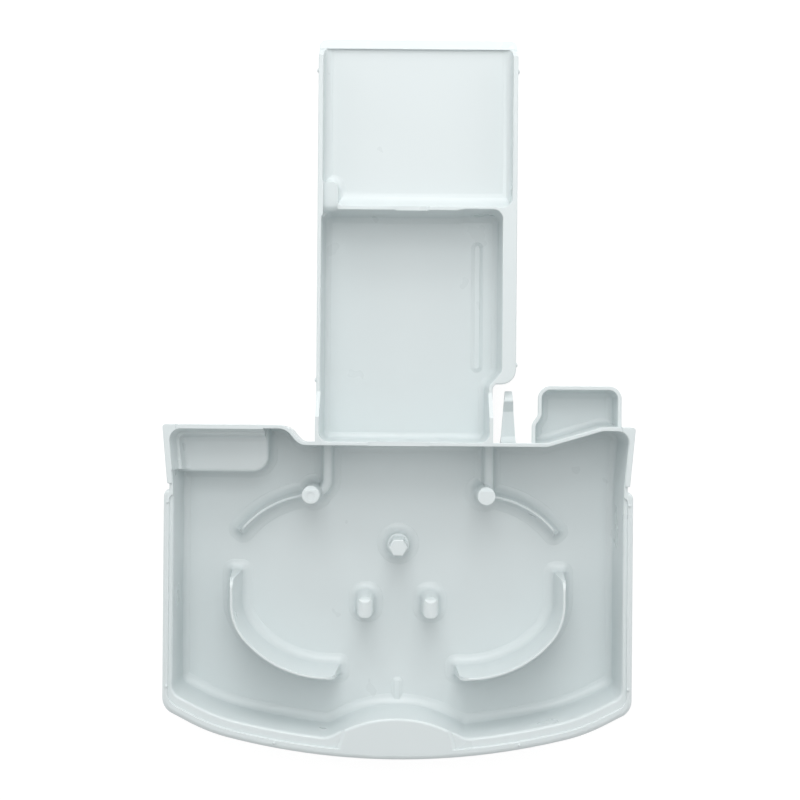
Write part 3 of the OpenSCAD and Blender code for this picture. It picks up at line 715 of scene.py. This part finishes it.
def wedge_post(side):
    """A post whose top is rounded along its ridge and at its back."""
    x, half_w, half_l = side * WEDGE_X, WEDGE_W / 2, WEDGE_L / 2
    r, k = half_w - WEDGE_LEAN, WEDGE_TAPER / WEDGE_LEAN
    corners = [(x - half_w, -WEDGE_Y - half_l, r, k), (x + half_w, -WEDGE_Y - half_l, r, 1),
               (x + half_w, -WEDGE_Y + half_l, r, k), (x - half_w, -WEDGE_Y + half_l, r, 1)]
    top = upper_edge(WEDGE_H, WEDGE_EDGE, WEDGE_LEAN - 0.1)
    post = loft("wedge_post", corners, foot_levels(FLOOR_Z, WEDGE_FOOT_R) + top)
    near, far = -WEDGE_Y - 3 * half_l, -WEDGE_Y + 3 * half_l
    ridge = arch_prism(x, near, far)
    face = -WEDGE_Y + half_l - WEDGE_TAPER
    profile = [(far, -OVER), (far, WEDGE_H - WEDGE_BACK_R)]
    for a in quarter(FILLET_STEPS):
        profile.append((face - WEDGE_BACK_R * (1 - cos(a)), WEDGE_H - WEDGE_BACK_R * (1 - sin(a))))
    profile += [(near, WEDGE_H), (near, -OVER)]
    round_back = side_prism("round_back", x - 2 * WEDGE_W, x + 2 * WEDGE_W, profile)
    return keep(keep(post, ridge), round_back)


def bead(start, end):
    """A small rib with round ends on a floor."""
    levels = foot_levels(FLOOR_Z, BEAD_FOOT)[:3]
    levels += [(FLOOR_Z + FOOT_STEP, -BEAD_FOOT), (FLOOR_Z + BEAD_WAIST_Z * BEAD_H, -0.5 * BEAD_FOOT)]
    levels += [(FLOOR_Z + BEAD_H - BEAD_EDGE, -BEAD_EDGE), (FLOOR_Z + BEAD_H, BEAD_EDGE)]
    half = BEAD_T / 2
    path = [(start[0], start[1] + half, 0), (end[0], end[1] - half, 0)]
    return loft("bead", ribbon(path, half, half - 0.05), levels)


def shelf():
    """The raised floor at the back left, with a rounded root and a small step in the wall round it."""
    step_z = SHELF_H + SHELF_STEP_H
    foot = SHELF_LEAN + SHELF_STEP + LEAN
    floor = loft("shelf", shelf_outline(0), foot_levels(FLOOR_Z, ROOT_R) + upper_edge(SHELF_H, SHELF_EDGE, 0))
    surround = loft("shelf_wall", shelf_outline(SHELF_EDGE), [(SHELF_H - SHELF_EDGE, 0), (WING_Z, 0)])
    levels = [(SHELF_H + ROOT_R * (1 - cos(a)), foot + ROOT_R * (1 - sin(a))) for a in quarter(FILLET_STEPS)]
    levels += [(step_z - 0.4, foot - LEAN), (step_z - 0.1, foot - LEAN - 0.15), (step_z, foot - LEAN - 0.5)]
    levels += [(step_z + 0.3, SHELF_LEAN), (WING_Z + OVER, -SINK)]
    surround = cut(surround, loft("inside", BASIN_OUTLINE, levels))
    return join(floor, surround)


def grip_top():
    """The flat top over the finger hollow, which carries the lip's height back to the grip's wall."""
    front = Vector((GRIP_W / 2, -FRONT_Y + LIP_FRONT))
    slope = GRIP_SLOPE - GRIP_EASE
    wall_line = Vector((0, GRIP_CREST + GRIP_R * (1 / cos(slope) - 1) + 0.9))
    knee = meet(front, turned(Vector((0, 1)), GRIP_SPLAY), wall_line, heading(-slope))
    foot = front + Vector((math.tan(math.radians(GRIP_SPLAY)), -1)) * (LIP_FRONT + OVER)
    corners = both_sides((0, wall_line.y, GRIP_R), [(knee.x, knee.y, 3), (foot.x, foot.y, 1)])
    levels = [(LEDGE_Z - WALL, -GRIP_BEVEL * WALL / LIP_RISE)]
    for down, inwards in ((0.5, 0.67), (0.25, 0.86), (0.08, 1.08), (0, 1.35)):
        levels.append((TRAY_H - down, GRIP_BEVEL * inwards))
    levels.append((WING_Z + 2 * OVER, GRIP_BEVEL * 1.35))
    return loft("grip_top", corners[::-1], levels)


# Solid bodies before anything is hollowed out

def lip():
    levels = [(TRAY_H - SKIRT_H, 0.3), (TRAY_H - SKIRT_H + 0.3, 0)] + upper_edge(TRAY_H, LIP_EDGE, 0)
    body = loft("lip", LIP_OUTLINE, levels)
    return cut(body, loft("skirt", LIP_OUTLINE, [(TRAY_H - SKIRT_H - OVER, WALL), (LEDGE_Z - WALL, WALL)]))


def wing(side):
    """The raised rim round each back corner."""
    back = BAY_IN + WALL
    top = HALF_IN + WING_FLARE + WING_T
    corners = [(HALF_IN - OVER, WING_Y, 0.2), (HALF_IN + WING_T, WING_Y, 0.8),
               (top, back, 1.6), (top - WING_BACK, back, 0.2)]
    if side < 0:
        corners = [mirrored(c) for c in corners][::-1]
    levels = [(TRAY_H - WING_BAND, 0.3), (TRAY_H - WING_BAND + 0.3, 0)] + upper_edge(WING_Z, 0.5, 0)
    return loft("wing", corners, levels)


def flange():
    corners = [(MID_NECK, FLANGE_FRONT, 0.5), (FLANGE_OUT, FLANGE_FRONT, FLANGE_R),
               (FLANGE_OUT, MID_BACK, 0.5), (MID_NECK, MID_BACK, 0.5)]
    body = loft("flange", corners, [(TONGUE_H - FLANGE_RIM, 0)] + upper_edge(TONGUE_H, 0.6, 0))
    return cut(body, loft("under", corners, [(TONGUE_H - FLANGE_RIM - OVER, WALL), (TONGUE_H - WALL, WALL)]))


def rear_block():
    corners = rectangle(-REAR_LEFT - REAR_RIM, FLANGE_OUT, MID_BACK - 8, REAR_OUTER, 4.5)
    return loft("rear_block", corners, lower_edge(REAR_UNDER, 2) + upper_edge(TONGUE_H, RIM_R, 0))


def finger():
    """The springy latch finger beside the tongue, with a rounded catch near its tip."""
    tip_y = BACK_Y + FINGER_L
    crest, low = tip_y - 5, FINGER_H - FINGER_T
    section = [(BACK_IN, low - 3), (BACK_Y, low - 3), (BACK_Y + 1, low - 1.6), (BACK_Y + 3, low),
               (tip_y - 0.5, low), (tip_y, low + 0.5), (tip_y, FINGER_H - 0.3),
               (crest + 2.2, FINGER_H + CATCH_H - 1.2)]
    section += [(crest + 1.5 * cos(a), FINGER_H + CATCH_H - 1.5 + 1.5 * sin(a)) for a in range(40, 141, 20)]
    section += [(crest - 5.6, FINGER_H), (BACK_Y + 3, FINGER_H), (BACK_Y + 1, FINGER_H + 1.6),
                (BACK_Y, FINGER_H + 3), (BACK_IN, FINGER_H + 3)]
    body = side_prism("finger", FINGER_X - FINGER_W, FINGER_X + FINGER_W, section)
    plan = [(FINGER_X - FINGER_W / 2, BACK_IN, 0.2), (FINGER_X + FINGER_W / 2, BACK_IN, 0.2),
            (FINGER_X + FINGER_TIP / 2, tip_y, 0.6), (FINGER_X - FINGER_TIP / 2, tip_y, 0.6)]
    return keep(body, loft("plan", plan, [(0, 0), (TRAY_H, 0)]))


def ramp_walls():
    """The high walls of the tongue beside the basin, before their top is cut to the ramp."""
    walls = loft("ramp_walls", mid_outline(BACK_Y - 10), shell_levels(FLOOR_Z, TRAY_H + 2, MID_ROOT, LEAN))
    return keep(walls, box("front", -HALF_W, HALF_W, 0, RAMP_FOOT_Y + 0.01, 0, TRAY_H))


# What is taken out of them

def basin_hollow():
    hollow = loft("basin_hollow", BASIN_OUTLINE, hollow_levels(FLOOR_Z, TRAY_H, ROOT_R, LEAN))
    standing = [shelf(), hexagon_post(), *webs()]
    for side in (-1, 1):
        standing += [round_post(side), wedge_post(side), tall_rib(side), low_rib(side)]
    standing.append(bead((0, GRIP_CREST - WALL), (0, GRIP_CREST + BEAD_L)))
    return cut(hollow, *standing)


def ledge_cut():
    """The step down to the grid's ledge and the ledge's rounded inner edge."""
    levels = [(LEDGE_Z, 0.25), (LEDGE_Z + 0.07, 0.07), (LEDGE_Z + 0.25, 0), (TRAY_H - RIM_R, 0)]
    step = loft("grid_ledge", GRID_OUTLINE, levels + flare_levels(TRAY_H, RIM_R)[1:])
    levels = [(LEDGE_Z - LEDGE_EDGE - OVER, OVER)] + flare_levels(LEDGE_Z, LEDGE_EDGE)
    edge = loft("ledge_edge", BASIN_OUTLINE, levels)
    edge = keep(edge, loft("region", GRID_OUTLINE, [(LEDGE_Z - 3, 0.1), (TRAY_H, 0.1)]))
    edge = cut(edge, loft("middle", BASIN_OUTLINE, [(LEDGE_Z - 4, 2 * LEDGE_EDGE), (TRAY_H, 2 * LEDGE_EDGE)]))
    return cut(join(step, edge), grip_top())


def mid_hollow():
    low = loft("mid_hollow", mid_outline(BACK_Y), hollow_levels(FLOOR_Z, TONGUE_H, MID_ROOT, LEAN))
    low = keep(low, box("rest", -HALF_W, HALF_W, RAMP_FOOT_Y, REAR_OUTER, 0, TRAY_H))
    high = loft("mid_front", mid_outline(BACK_Y), hollow_levels(FLOOR_Z, TRAY_H, MID_ROOT, LEAN))
    high = keep(high, box("front", -HALF_W, HALF_W, 0, RAMP_FOOT_Y + 0.01, 0, TRAY_H + 2))
    long_x, long_y = MID_RIGHT - LONG_BEAD_IN, MID_BACK - LONG_BEAD_Y
    return cut(join(low, high), bead((long_x, long_y - LONG_BEAD_L), (long_x, long_y)))


def rear_hollow():
    behind = REAR_BACK + REAR_ROOT + 2
    corners = [(-REAR_LEFT + SPILL_W, REAR_FRONT, 3), (REAR_RIGHT, REAR_FRONT, 5),
               (REAR_RIGHT, behind, 1), (-REAR_LEFT, behind, 1),
               (-REAR_LEFT, REAR_FRONT + SPILL_L, 1), (-REAR_LEFT + SPILL_W, REAR_FRONT + SPILL_L, 3)]
    hollow = loft("rear_hollow", corners, hollow_levels(REAR_FLOOR, TONGUE_H, REAR_ROOT, REAR_SLANT))
    hollow = keep(hollow, box("rear", -HALF_W, HALF_W, 0, REAR_BACK, 0, TRAY_H * 2))
    z0 = REAR_FLOOR - SINK
    sweep = [(REAR_FRONT - OVER, z0 - OVER), (REAR_FRONT + SWEEP_R, z0 - OVER)]
    for a in quarter(2 * FILLET_STEPS)[:-1]:
        sweep.append((REAR_FRONT + SWEEP_R * (1 - sin(a)), z0 + SWEEP_R * (1 - cos(a))))
    sweep += [(REAR_FRONT, z0 + SWEEP_R), (REAR_FRONT - OVER, z0 + SWEEP_R)]
    return cut(hollow, side_prism("sweep", -REAR_LEFT, REAR_RIGHT, sweep))


def spill():
    """The low corner where the rear pan spills into the middle pan."""
    z, y = REAR_FLOOR + SPILL_H, MID_BACK - 0.6
    section = [(y - 3, TONGUE_H + OVER), (y - 3, z - SPILL_R)]
    section += [(y + SPILL_R * (1 - cos(a)), z - SPILL_R + SPILL_R * sin(a)) for a in quarter(FILLET_STEPS)]
    section += [(REAR_FRONT + SPILL_L + OVER, z), (REAR_FRONT + SPILL_L + OVER, TONGUE_H + OVER)]
    return side_prism("spill", -REAR_LEFT + REAR_SLANT, -REAR_LEFT + REAR_SLANT + SPILL_W, section)


def tongue_headroom():
    """Everything above the side rims of the tongue."""
    lip_top, clear = REAR_FLOOR + REAR_LIP, 4.0
    rim, foot, away = TONGUE_H + 0.001, REAR_UNDER + 0.6, REAR_OUTER + 10
    section = [(RAMP_TOP_Y, TRAY_H + OVER), (RAMP_TOP_Y, TRAY_H), (RAMP_FOOT_Y, rim),
               (REAR_BACK - DROP_L, rim), (REAR_BACK - 0.4, lip_top), (REAR_BACK + 0.3, lip_top),
               (REAR_BACK + 0.9, lip_top - 0.4), (REAR_OUTER, foot), (away, foot), (away, TRAY_H + OVER)]
    return side_prism("headroom", -MID_LEFT - clear, FLANGE_OUT + clear, section)


def notches():
    """The shallow weirs in the basin's back wall and in the divider."""
    basin = box("weir", -WEIR_W / 2, WEIR_W / 2, BACK_IN - OVER, BACK_Y + OVER,
                TRAY_H - WEIR_D, TRAY_H + OVER)
    x, half = DIVIDER_WEIR_X, DIVIDER_WEIR_W / 2
    divider = box("divider_weir", x - half, x + half, MID_BACK - OVER, REAR_FRONT + OVER,
                  TONGUE_H - WEIR_D, TONGUE_H + OVER)
    return [basin, divider]


def tray_body():
    body = join(
        loft("tray", BASIN_OUTLINE, shell_levels(FLOOR_Z, TRAY_H, ROOT_R, LEAN)),
        lip(), wing(-1), wing(1), flange(), rear_block(),
        loft("mid", mid_outline(BACK_Y - 10), shell_levels(FLOOR_Z, TONGUE_H, MID_ROOT, LEAN)),
        ramp_walls(),
        loft("pocket", POCKET_OUTLINE, shell_levels(POCKET_FLOOR, POCKET_H, POCKET_ROOT, LEAN)),
        finger(),
    )
    return cut(
        body, basin_hollow(), ledge_cut(), mid_hollow(), rear_hollow(), spill(),
        loft("pocket_hollow", POCKET_OUTLINE, hollow_levels(POCKET_FLOOR, POCKET_H, POCKET_ROOT, LEAN)),
        tongue_headroom(), *notches(),
        loft("under_shelf", shelf_outline(WALL), [(-OVER, 0), (SHELF_H - WALL, 0)]),
    )


# Small knobs that repeat, placed by Geometry Nodes

def knob_tree(material):
    """Sets a rounded knob on each point and joins them into one mesh."""
    tree = bpy.data.node_groups.new("Knobs on points", "GeometryNodeTree")
    face = tree.interface
    face.new_socket("Points", in_out="INPUT", socket_type="NodeSocketGeometry")
    radius = face.new_socket("Radius", in_out="INPUT", socket_type="NodeSocketFloat")
    height = face.new_socket("Height scale", in_out="INPUT", socket_type="NodeSocketFloat")
    face.new_socket("Knobs", in_out="OUTPUT", socket_type="NodeSocketGeometry")
    nodes, links = tree.nodes, tree.links
    inputs, outputs = nodes.new("NodeGroupInput"), nodes.new("NodeGroupOutput")
    ball = nodes.new("GeometryNodeMeshUVSphere")
    ball.inputs["Segments"].default_value = 24
    ball.inputs["Rings"].default_value = 12
    stretch = nodes.new("ShaderNodeCombineXYZ")
    stretch.inputs["X"].default_value = 1
    stretch.inputs["Y"].default_value = 1
    place = nodes.new("GeometryNodeInstanceOnPoints")
    plain = nodes.new("GeometryNodeRealizeInstances")
    smooth = nodes.new("GeometryNodeSetShadeSmooth")
    finish = nodes.new("GeometryNodeSetMaterial")
    finish.inputs["Material"].default_value = material
    links.new(inputs.outputs["Radius"], ball.inputs["Radius"])
    links.new(inputs.outputs["Height scale"], stretch.inputs["Z"])
    links.new(inputs.outputs["Points"], place.inputs["Points"])
    links.new(ball.outputs["Mesh"], place.inputs["Instance"])
    links.new(stretch.outputs["Vector"], place.inputs["Scale"])
    links.new(place.outputs["Instances"], plain.inputs["Geometry"])
    links.new(plain.outputs["Geometry"], smooth.inputs["Geometry"])
    links.new(smooth.outputs["Geometry"], finish.inputs["Geometry"])
    links.new(finish.outputs["Geometry"], outputs.inputs["Knobs"])
    return tree, radius.identifier, height.identifier


def knobs(name, points, radius, height_scale, tree_parts):
    tree, radius_key, height_key = tree_parts
    mesh = bpy.data.meshes.new(name)
    mesh.from_pydata([Vector(p) * MM for p in points], [], [])
    piece = bpy.data.objects.new(name, mesh)
    bpy.context.scene.collection.objects.link(piece)
    layout = piece.modifiers.new("knobs", "NODES")
    layout.node_group = tree
    layout[radius_key] = radius * MM
    layout[height_key] = height_scale
    graph = bpy.context.evaluated_depsgraph_get()
    piece.data = bpy.data.meshes.new_from_object(piece.evaluated_get(graph))
    piece.modifiers.clear()
    bpy.data.meshes.remove(mesh)
    return piece


def pip_points():
    """On top of the lip, two at each side and two at the front."""
    bow = BOW_R - LIP_EDGE - 0.5
    points = []
    for side in (-1, 1):
        points += [(side * (HALF_W - LIP_EDGE), y, TRAY_H) for y in (-PIP_Y, PIP_Y)]
        points.append((side * PIP_X, BOW_Y - math.sqrt(bow * bow - PIP_X * PIP_X), TRAY_H))
    return points


def bump_points():
    """On the sides of the tongue, just under its rim."""
    z = TONGUE_H - BUMP_H / 2 - 0.6
    rear = REAR_BACK - 12.7
    spots = [(-REAR_LEFT - REAR_RIM, rear), (FLANGE_OUT, rear),
             (-MID_LEFT - WALL, RAMP_FOOT_Y + 6), (FLANGE_OUT, FLANGE_FRONT + 10)]
    return [(x - math.copysign(BUMP_R * 0.3, x), y, z) for x, y in spots]


# Materials

def mould_texture_group():
    """Soft cloudiness in a moulding's colour and gloss, and a fine orange-peel surface."""
    group = bpy.data.node_groups.new("Moulded surface", "ShaderNodeTree")
    face = group.interface
    for name, value in (("Cloud size", 40.0), ("Grain size", 900.0), ("Grain height", 0.00001)):
        socket = face.new_socket(name, in_out="INPUT", socket_type="NodeSocketFloat")
        socket.default_value = value
    face.new_socket("Base colour", in_out="INPUT", socket_type="NodeSocketColor")
    face.new_socket("Shade colour", in_out="INPUT", socket_type="NodeSocketColor")
    face.new_socket("Colour", in_out="OUTPUT", socket_type="NodeSocketColor")
    face.new_socket("Roughness", in_out="OUTPUT", socket_type="NodeSocketFloat")
    face.new_socket("Normal", in_out="OUTPUT", socket_type="NodeSocketVector")
    nodes, links = group.nodes, group.links
    inputs, outputs = nodes.new("NodeGroupInput"), nodes.new("NodeGroupOutput")
    where = nodes.new("ShaderNodeTexCoord")
    cloud = nodes.new("ShaderNodeTexNoise")
    cloud.inputs["Detail"].default_value = 3
    cloud.inputs["Roughness"].default_value = 0.5
    grain = nodes.new("ShaderNodeTexNoise")
    grain.inputs["Detail"].default_value = 2
    tint = nodes.new("ShaderNodeMix")
    tint.data_type = "RGBA"
    rough = nodes.new("ShaderNodeMapRange")
    rough.inputs["From Min"].default_value = 0.3
    rough.inputs["From Max"].default_value = 0.7
    rough.inputs["To Min"].default_value = 0.27
    rough.inputs["To Max"].default_value = 0.35
    bump = nodes.new("ShaderNodeBump")
    bump.inputs["Strength"].default_value = 0.25
    for noise, size in ((cloud, "Cloud size"), (grain, "Grain size")):
        links.new(where.outputs["Object"], noise.inputs["Vector"])
        links.new(inputs.outputs[size], noise.inputs["Scale"])
    links.new(cloud.outputs["Fac"], tint.inputs[0])
    links.new(inputs.outputs["Shade colour"], tint.inputs[6])
    links.new(inputs.outputs["Base colour"], tint.inputs[7])
    links.new(cloud.outputs["Fac"], rough.inputs["Value"])
    links.new(grain.outputs["Fac"], bump.inputs["Height"])
    links.new(inputs.outputs["Grain height"], bump.inputs["Distance"])
    links.new(tint.outputs[2], outputs.inputs["Colour"])
    links.new(rough.outputs["Result"], outputs.inputs["Roughness"])
    links.new(bump.outputs["Normal"], outputs.inputs["Normal"])
    return group


def moulded_plastic(surface):
    """Pale blue-grey plastic with a satin gloss."""
    material = bpy.data.materials.new("moulded_plastic")
    material.use_nodes = True
    nodes, links = material.node_tree.nodes, material.node_tree.links
    shader = nodes["Principled BSDF"]
    shader.inputs["IOR"].default_value = 1.52
    place = nodes.new("ShaderNodeGroup")
    place.node_tree = surface
    place.inputs["Base colour"].default_value = (0.690, 0.748, 0.755, 1)
    place.inputs["Shade colour"].default_value = (0.673, 0.731, 0.738, 1)
    links.new(place.outputs["Colour"], shader.inputs["Base Color"])
    links.new(place.outputs["Roughness"], shader.inputs["Roughness"])
    links.new(place.outputs["Normal"], shader.inputs["Normal"])
    return material


def floor_material():
    """A white floor that keeps a faint shadow of the tray."""
    material = bpy.data.materials.new("studio_floor")
    material.use_nodes = True
    nodes, links = material.node_tree.nodes, material.node_tree.links
    nodes.clear()
    output = nodes.new("ShaderNodeOutputMaterial")
    matte = nodes.new("ShaderNodeBsdfDiffuse")
    matte.inputs["Color"].default_value = (0.80, 0.80, 0.80, 1)
    faint = nodes.new("ShaderNodeBsdfDiffuse")
    faint.inputs["Color"].default_value = (0.18, 0.18, 0.18, 1)
    glow = nodes.new("ShaderNodeEmission")
    glow.inputs["Strength"].default_value = 0.9
    seen = nodes.new("ShaderNodeAddShader")
    path = nodes.new("ShaderNodeLightPath")
    either = nodes.new("ShaderNodeMath")
    either.operation = "MAXIMUM"
    any_of = nodes.new("ShaderNodeMath")
    any_of.operation = "MAXIMUM"
    mix = nodes.new("ShaderNodeMixShader")
    links.new(path.outputs["Is Glossy Ray"], any_of.inputs[0])
    links.new(path.outputs["Is Transmission Ray"], any_of.inputs[1])
    links.new(path.outputs["Is Camera Ray"], either.inputs[0])
    links.new(any_of.outputs["Value"], either.inputs[1])
    links.new(faint.outputs["BSDF"], seen.inputs[0])
    links.new(glow.outputs["Emission"], seen.inputs[1])
    links.new(either.outputs["Value"], mix.inputs["Fac"])
    links.new(matte.outputs["BSDF"], mix.inputs[1])
    links.new(seen.outputs["Shader"], mix.inputs[2])
    links.new(mix.outputs["Shader"], output.inputs["Surface"])
    return material


# The piece

def smooth_shaded(piece):
    """Brings the drawing to metres and shades it smooth, with sharp edges kept."""
    mesh = piece.data
    mesh.transform(Matrix.Scale(MM, 4))
    work = bmesh.new()
    work.from_mesh(mesh)
    bmesh.ops.remove_doubles(work, verts=work.verts, dist=2e-6)
    bmesh.ops.dissolve_degenerate(work, edges=work.edges, dist=1e-6)
    work.to_mesh(mesh)
    work.free()
    mesh.shade_smooth()
    mesh.set_sharp_from_angle(angle=math.radians(28))
    weight = piece.modifiers.new("weight", "WEIGHTED_NORMAL")
    weight.keep_sharp = True
    weight.weight = 90
    graph = bpy.context.evaluated_depsgraph_get()
    piece.data = bpy.data.meshes.new_from_object(piece.evaluated_get(graph))
    piece.modifiers.clear()
    bpy.data.meshes.remove(mesh)


def build_tray():
    plastic = moulded_plastic(mould_texture_group())
    tray = tray_body()
    tray.name = "tray"
    smooth_shaded(tray)
    tray.data.materials.clear()
    tray.data.materials.append(plastic)
    tree_parts = knob_tree(plastic)
    pips = knobs("lip_pips", pip_points(), PIP_R, 0.98, tree_parts)
    bumps = knobs("side_bumps", bump_points(), BUMP_R, BUMP_H / 2 / BUMP_R, tree_parts)
    for piece in (tray, pips, bumps):
        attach(piece, "root")
    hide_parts("drip_tray")


# Studio

# Square lamps aimed at the tray's middle: name, degrees round from the back, degrees up, watts
SOFTBOXES = [
    ("back_low", 0, 25, 5.6),
    ("back_half", 0, 45, 4.6),
    ("back_high", 0, 68, 4.8),
    ("back_left", -50, 20, 2.8),
    ("back_right", 50, 20, 2.8),
    ("side_left", -95, 20, 1.8),
    ("side_right", 95, 20, 1.8),
    ("overhead", 0, 90, 1.4),
]
SOFTBOX_SIZE = 0.9
SOFTBOX_REACH = 1.6
SKY_STRENGTH = 0.5
STUDIO_MIDDLE = (0, 0.1, 0)
FLOOR_REACH = 6.0
FLOOR_DROP = 0.0002


def softbox(name, bearing, climb, power):
    lamp = bpy.data.lights.new(name, "AREA")
    lamp.shape = "SQUARE"
    lamp.size = SOFTBOX_SIZE
    lamp.energy = power
    holder = bpy.data.objects.new(name, lamp)
    bpy.context.scene.collection.objects.link(holder)
    flat = SOFTBOX_REACH * cos(climb)
    offset = Vector((flat * sin(bearing), flat * cos(bearing), SOFTBOX_REACH * sin(climb)))
    holder.location = Vector(STUDIO_MIDDLE) + offset
    holder.rotation_euler = (-offset).to_track_quat("-Z", "Y").to_euler()


def studio():
    floor_mesh = bpy.data.meshes.new("floor")
    signs = ((-1, -1), (1, -1), (1, 1), (-1, 1))
    points = [(u * FLOOR_REACH, v * FLOOR_REACH, -FLOOR_DROP) for u, v in signs]
    floor_mesh.from_pydata(points, [], [(0, 1, 2, 3)])
    floor = bpy.data.objects.new("floor", floor_mesh)
    bpy.context.scene.collection.objects.link(floor)
    floor_mesh.materials.append(floor_material())
    for name, bearing, climb, power in SOFTBOXES:
        softbox(name, bearing, climb, power)
    world = bpy.data.worlds.new("studio")
    world.use_nodes = True
    sky = world.node_tree.nodes["Background"]
    sky.inputs["Color"].default_value = (1, 1, 1, 1)
    sky.inputs["Strength"].default_value = SKY_STRENGTH
    bpy.context.scene.world = world


def camera():
    """Straight above the tray, rolled a little, as in the photograph."""
    height, focal_px, image_px = 0.933, 1751.0, 800.0
    data = bpy.data.cameras.new("camera")
    data.sensor_width = 36
    data.lens = 36 * focal_px / image_px
    data.clip_end = 20
    holder = bpy.data.objects.new("camera", data)
    bpy.context.scene.collection.objects.link(holder)
    holder.location = (0.00033, 0.1, height)
    holder.rotation_euler = (0, 0, math.radians(0.46))
    bpy.context.scene.camera = holder


build_tray()
studio()
camera()
bpy.context.scene.view_settings.view_transform = "Standard"
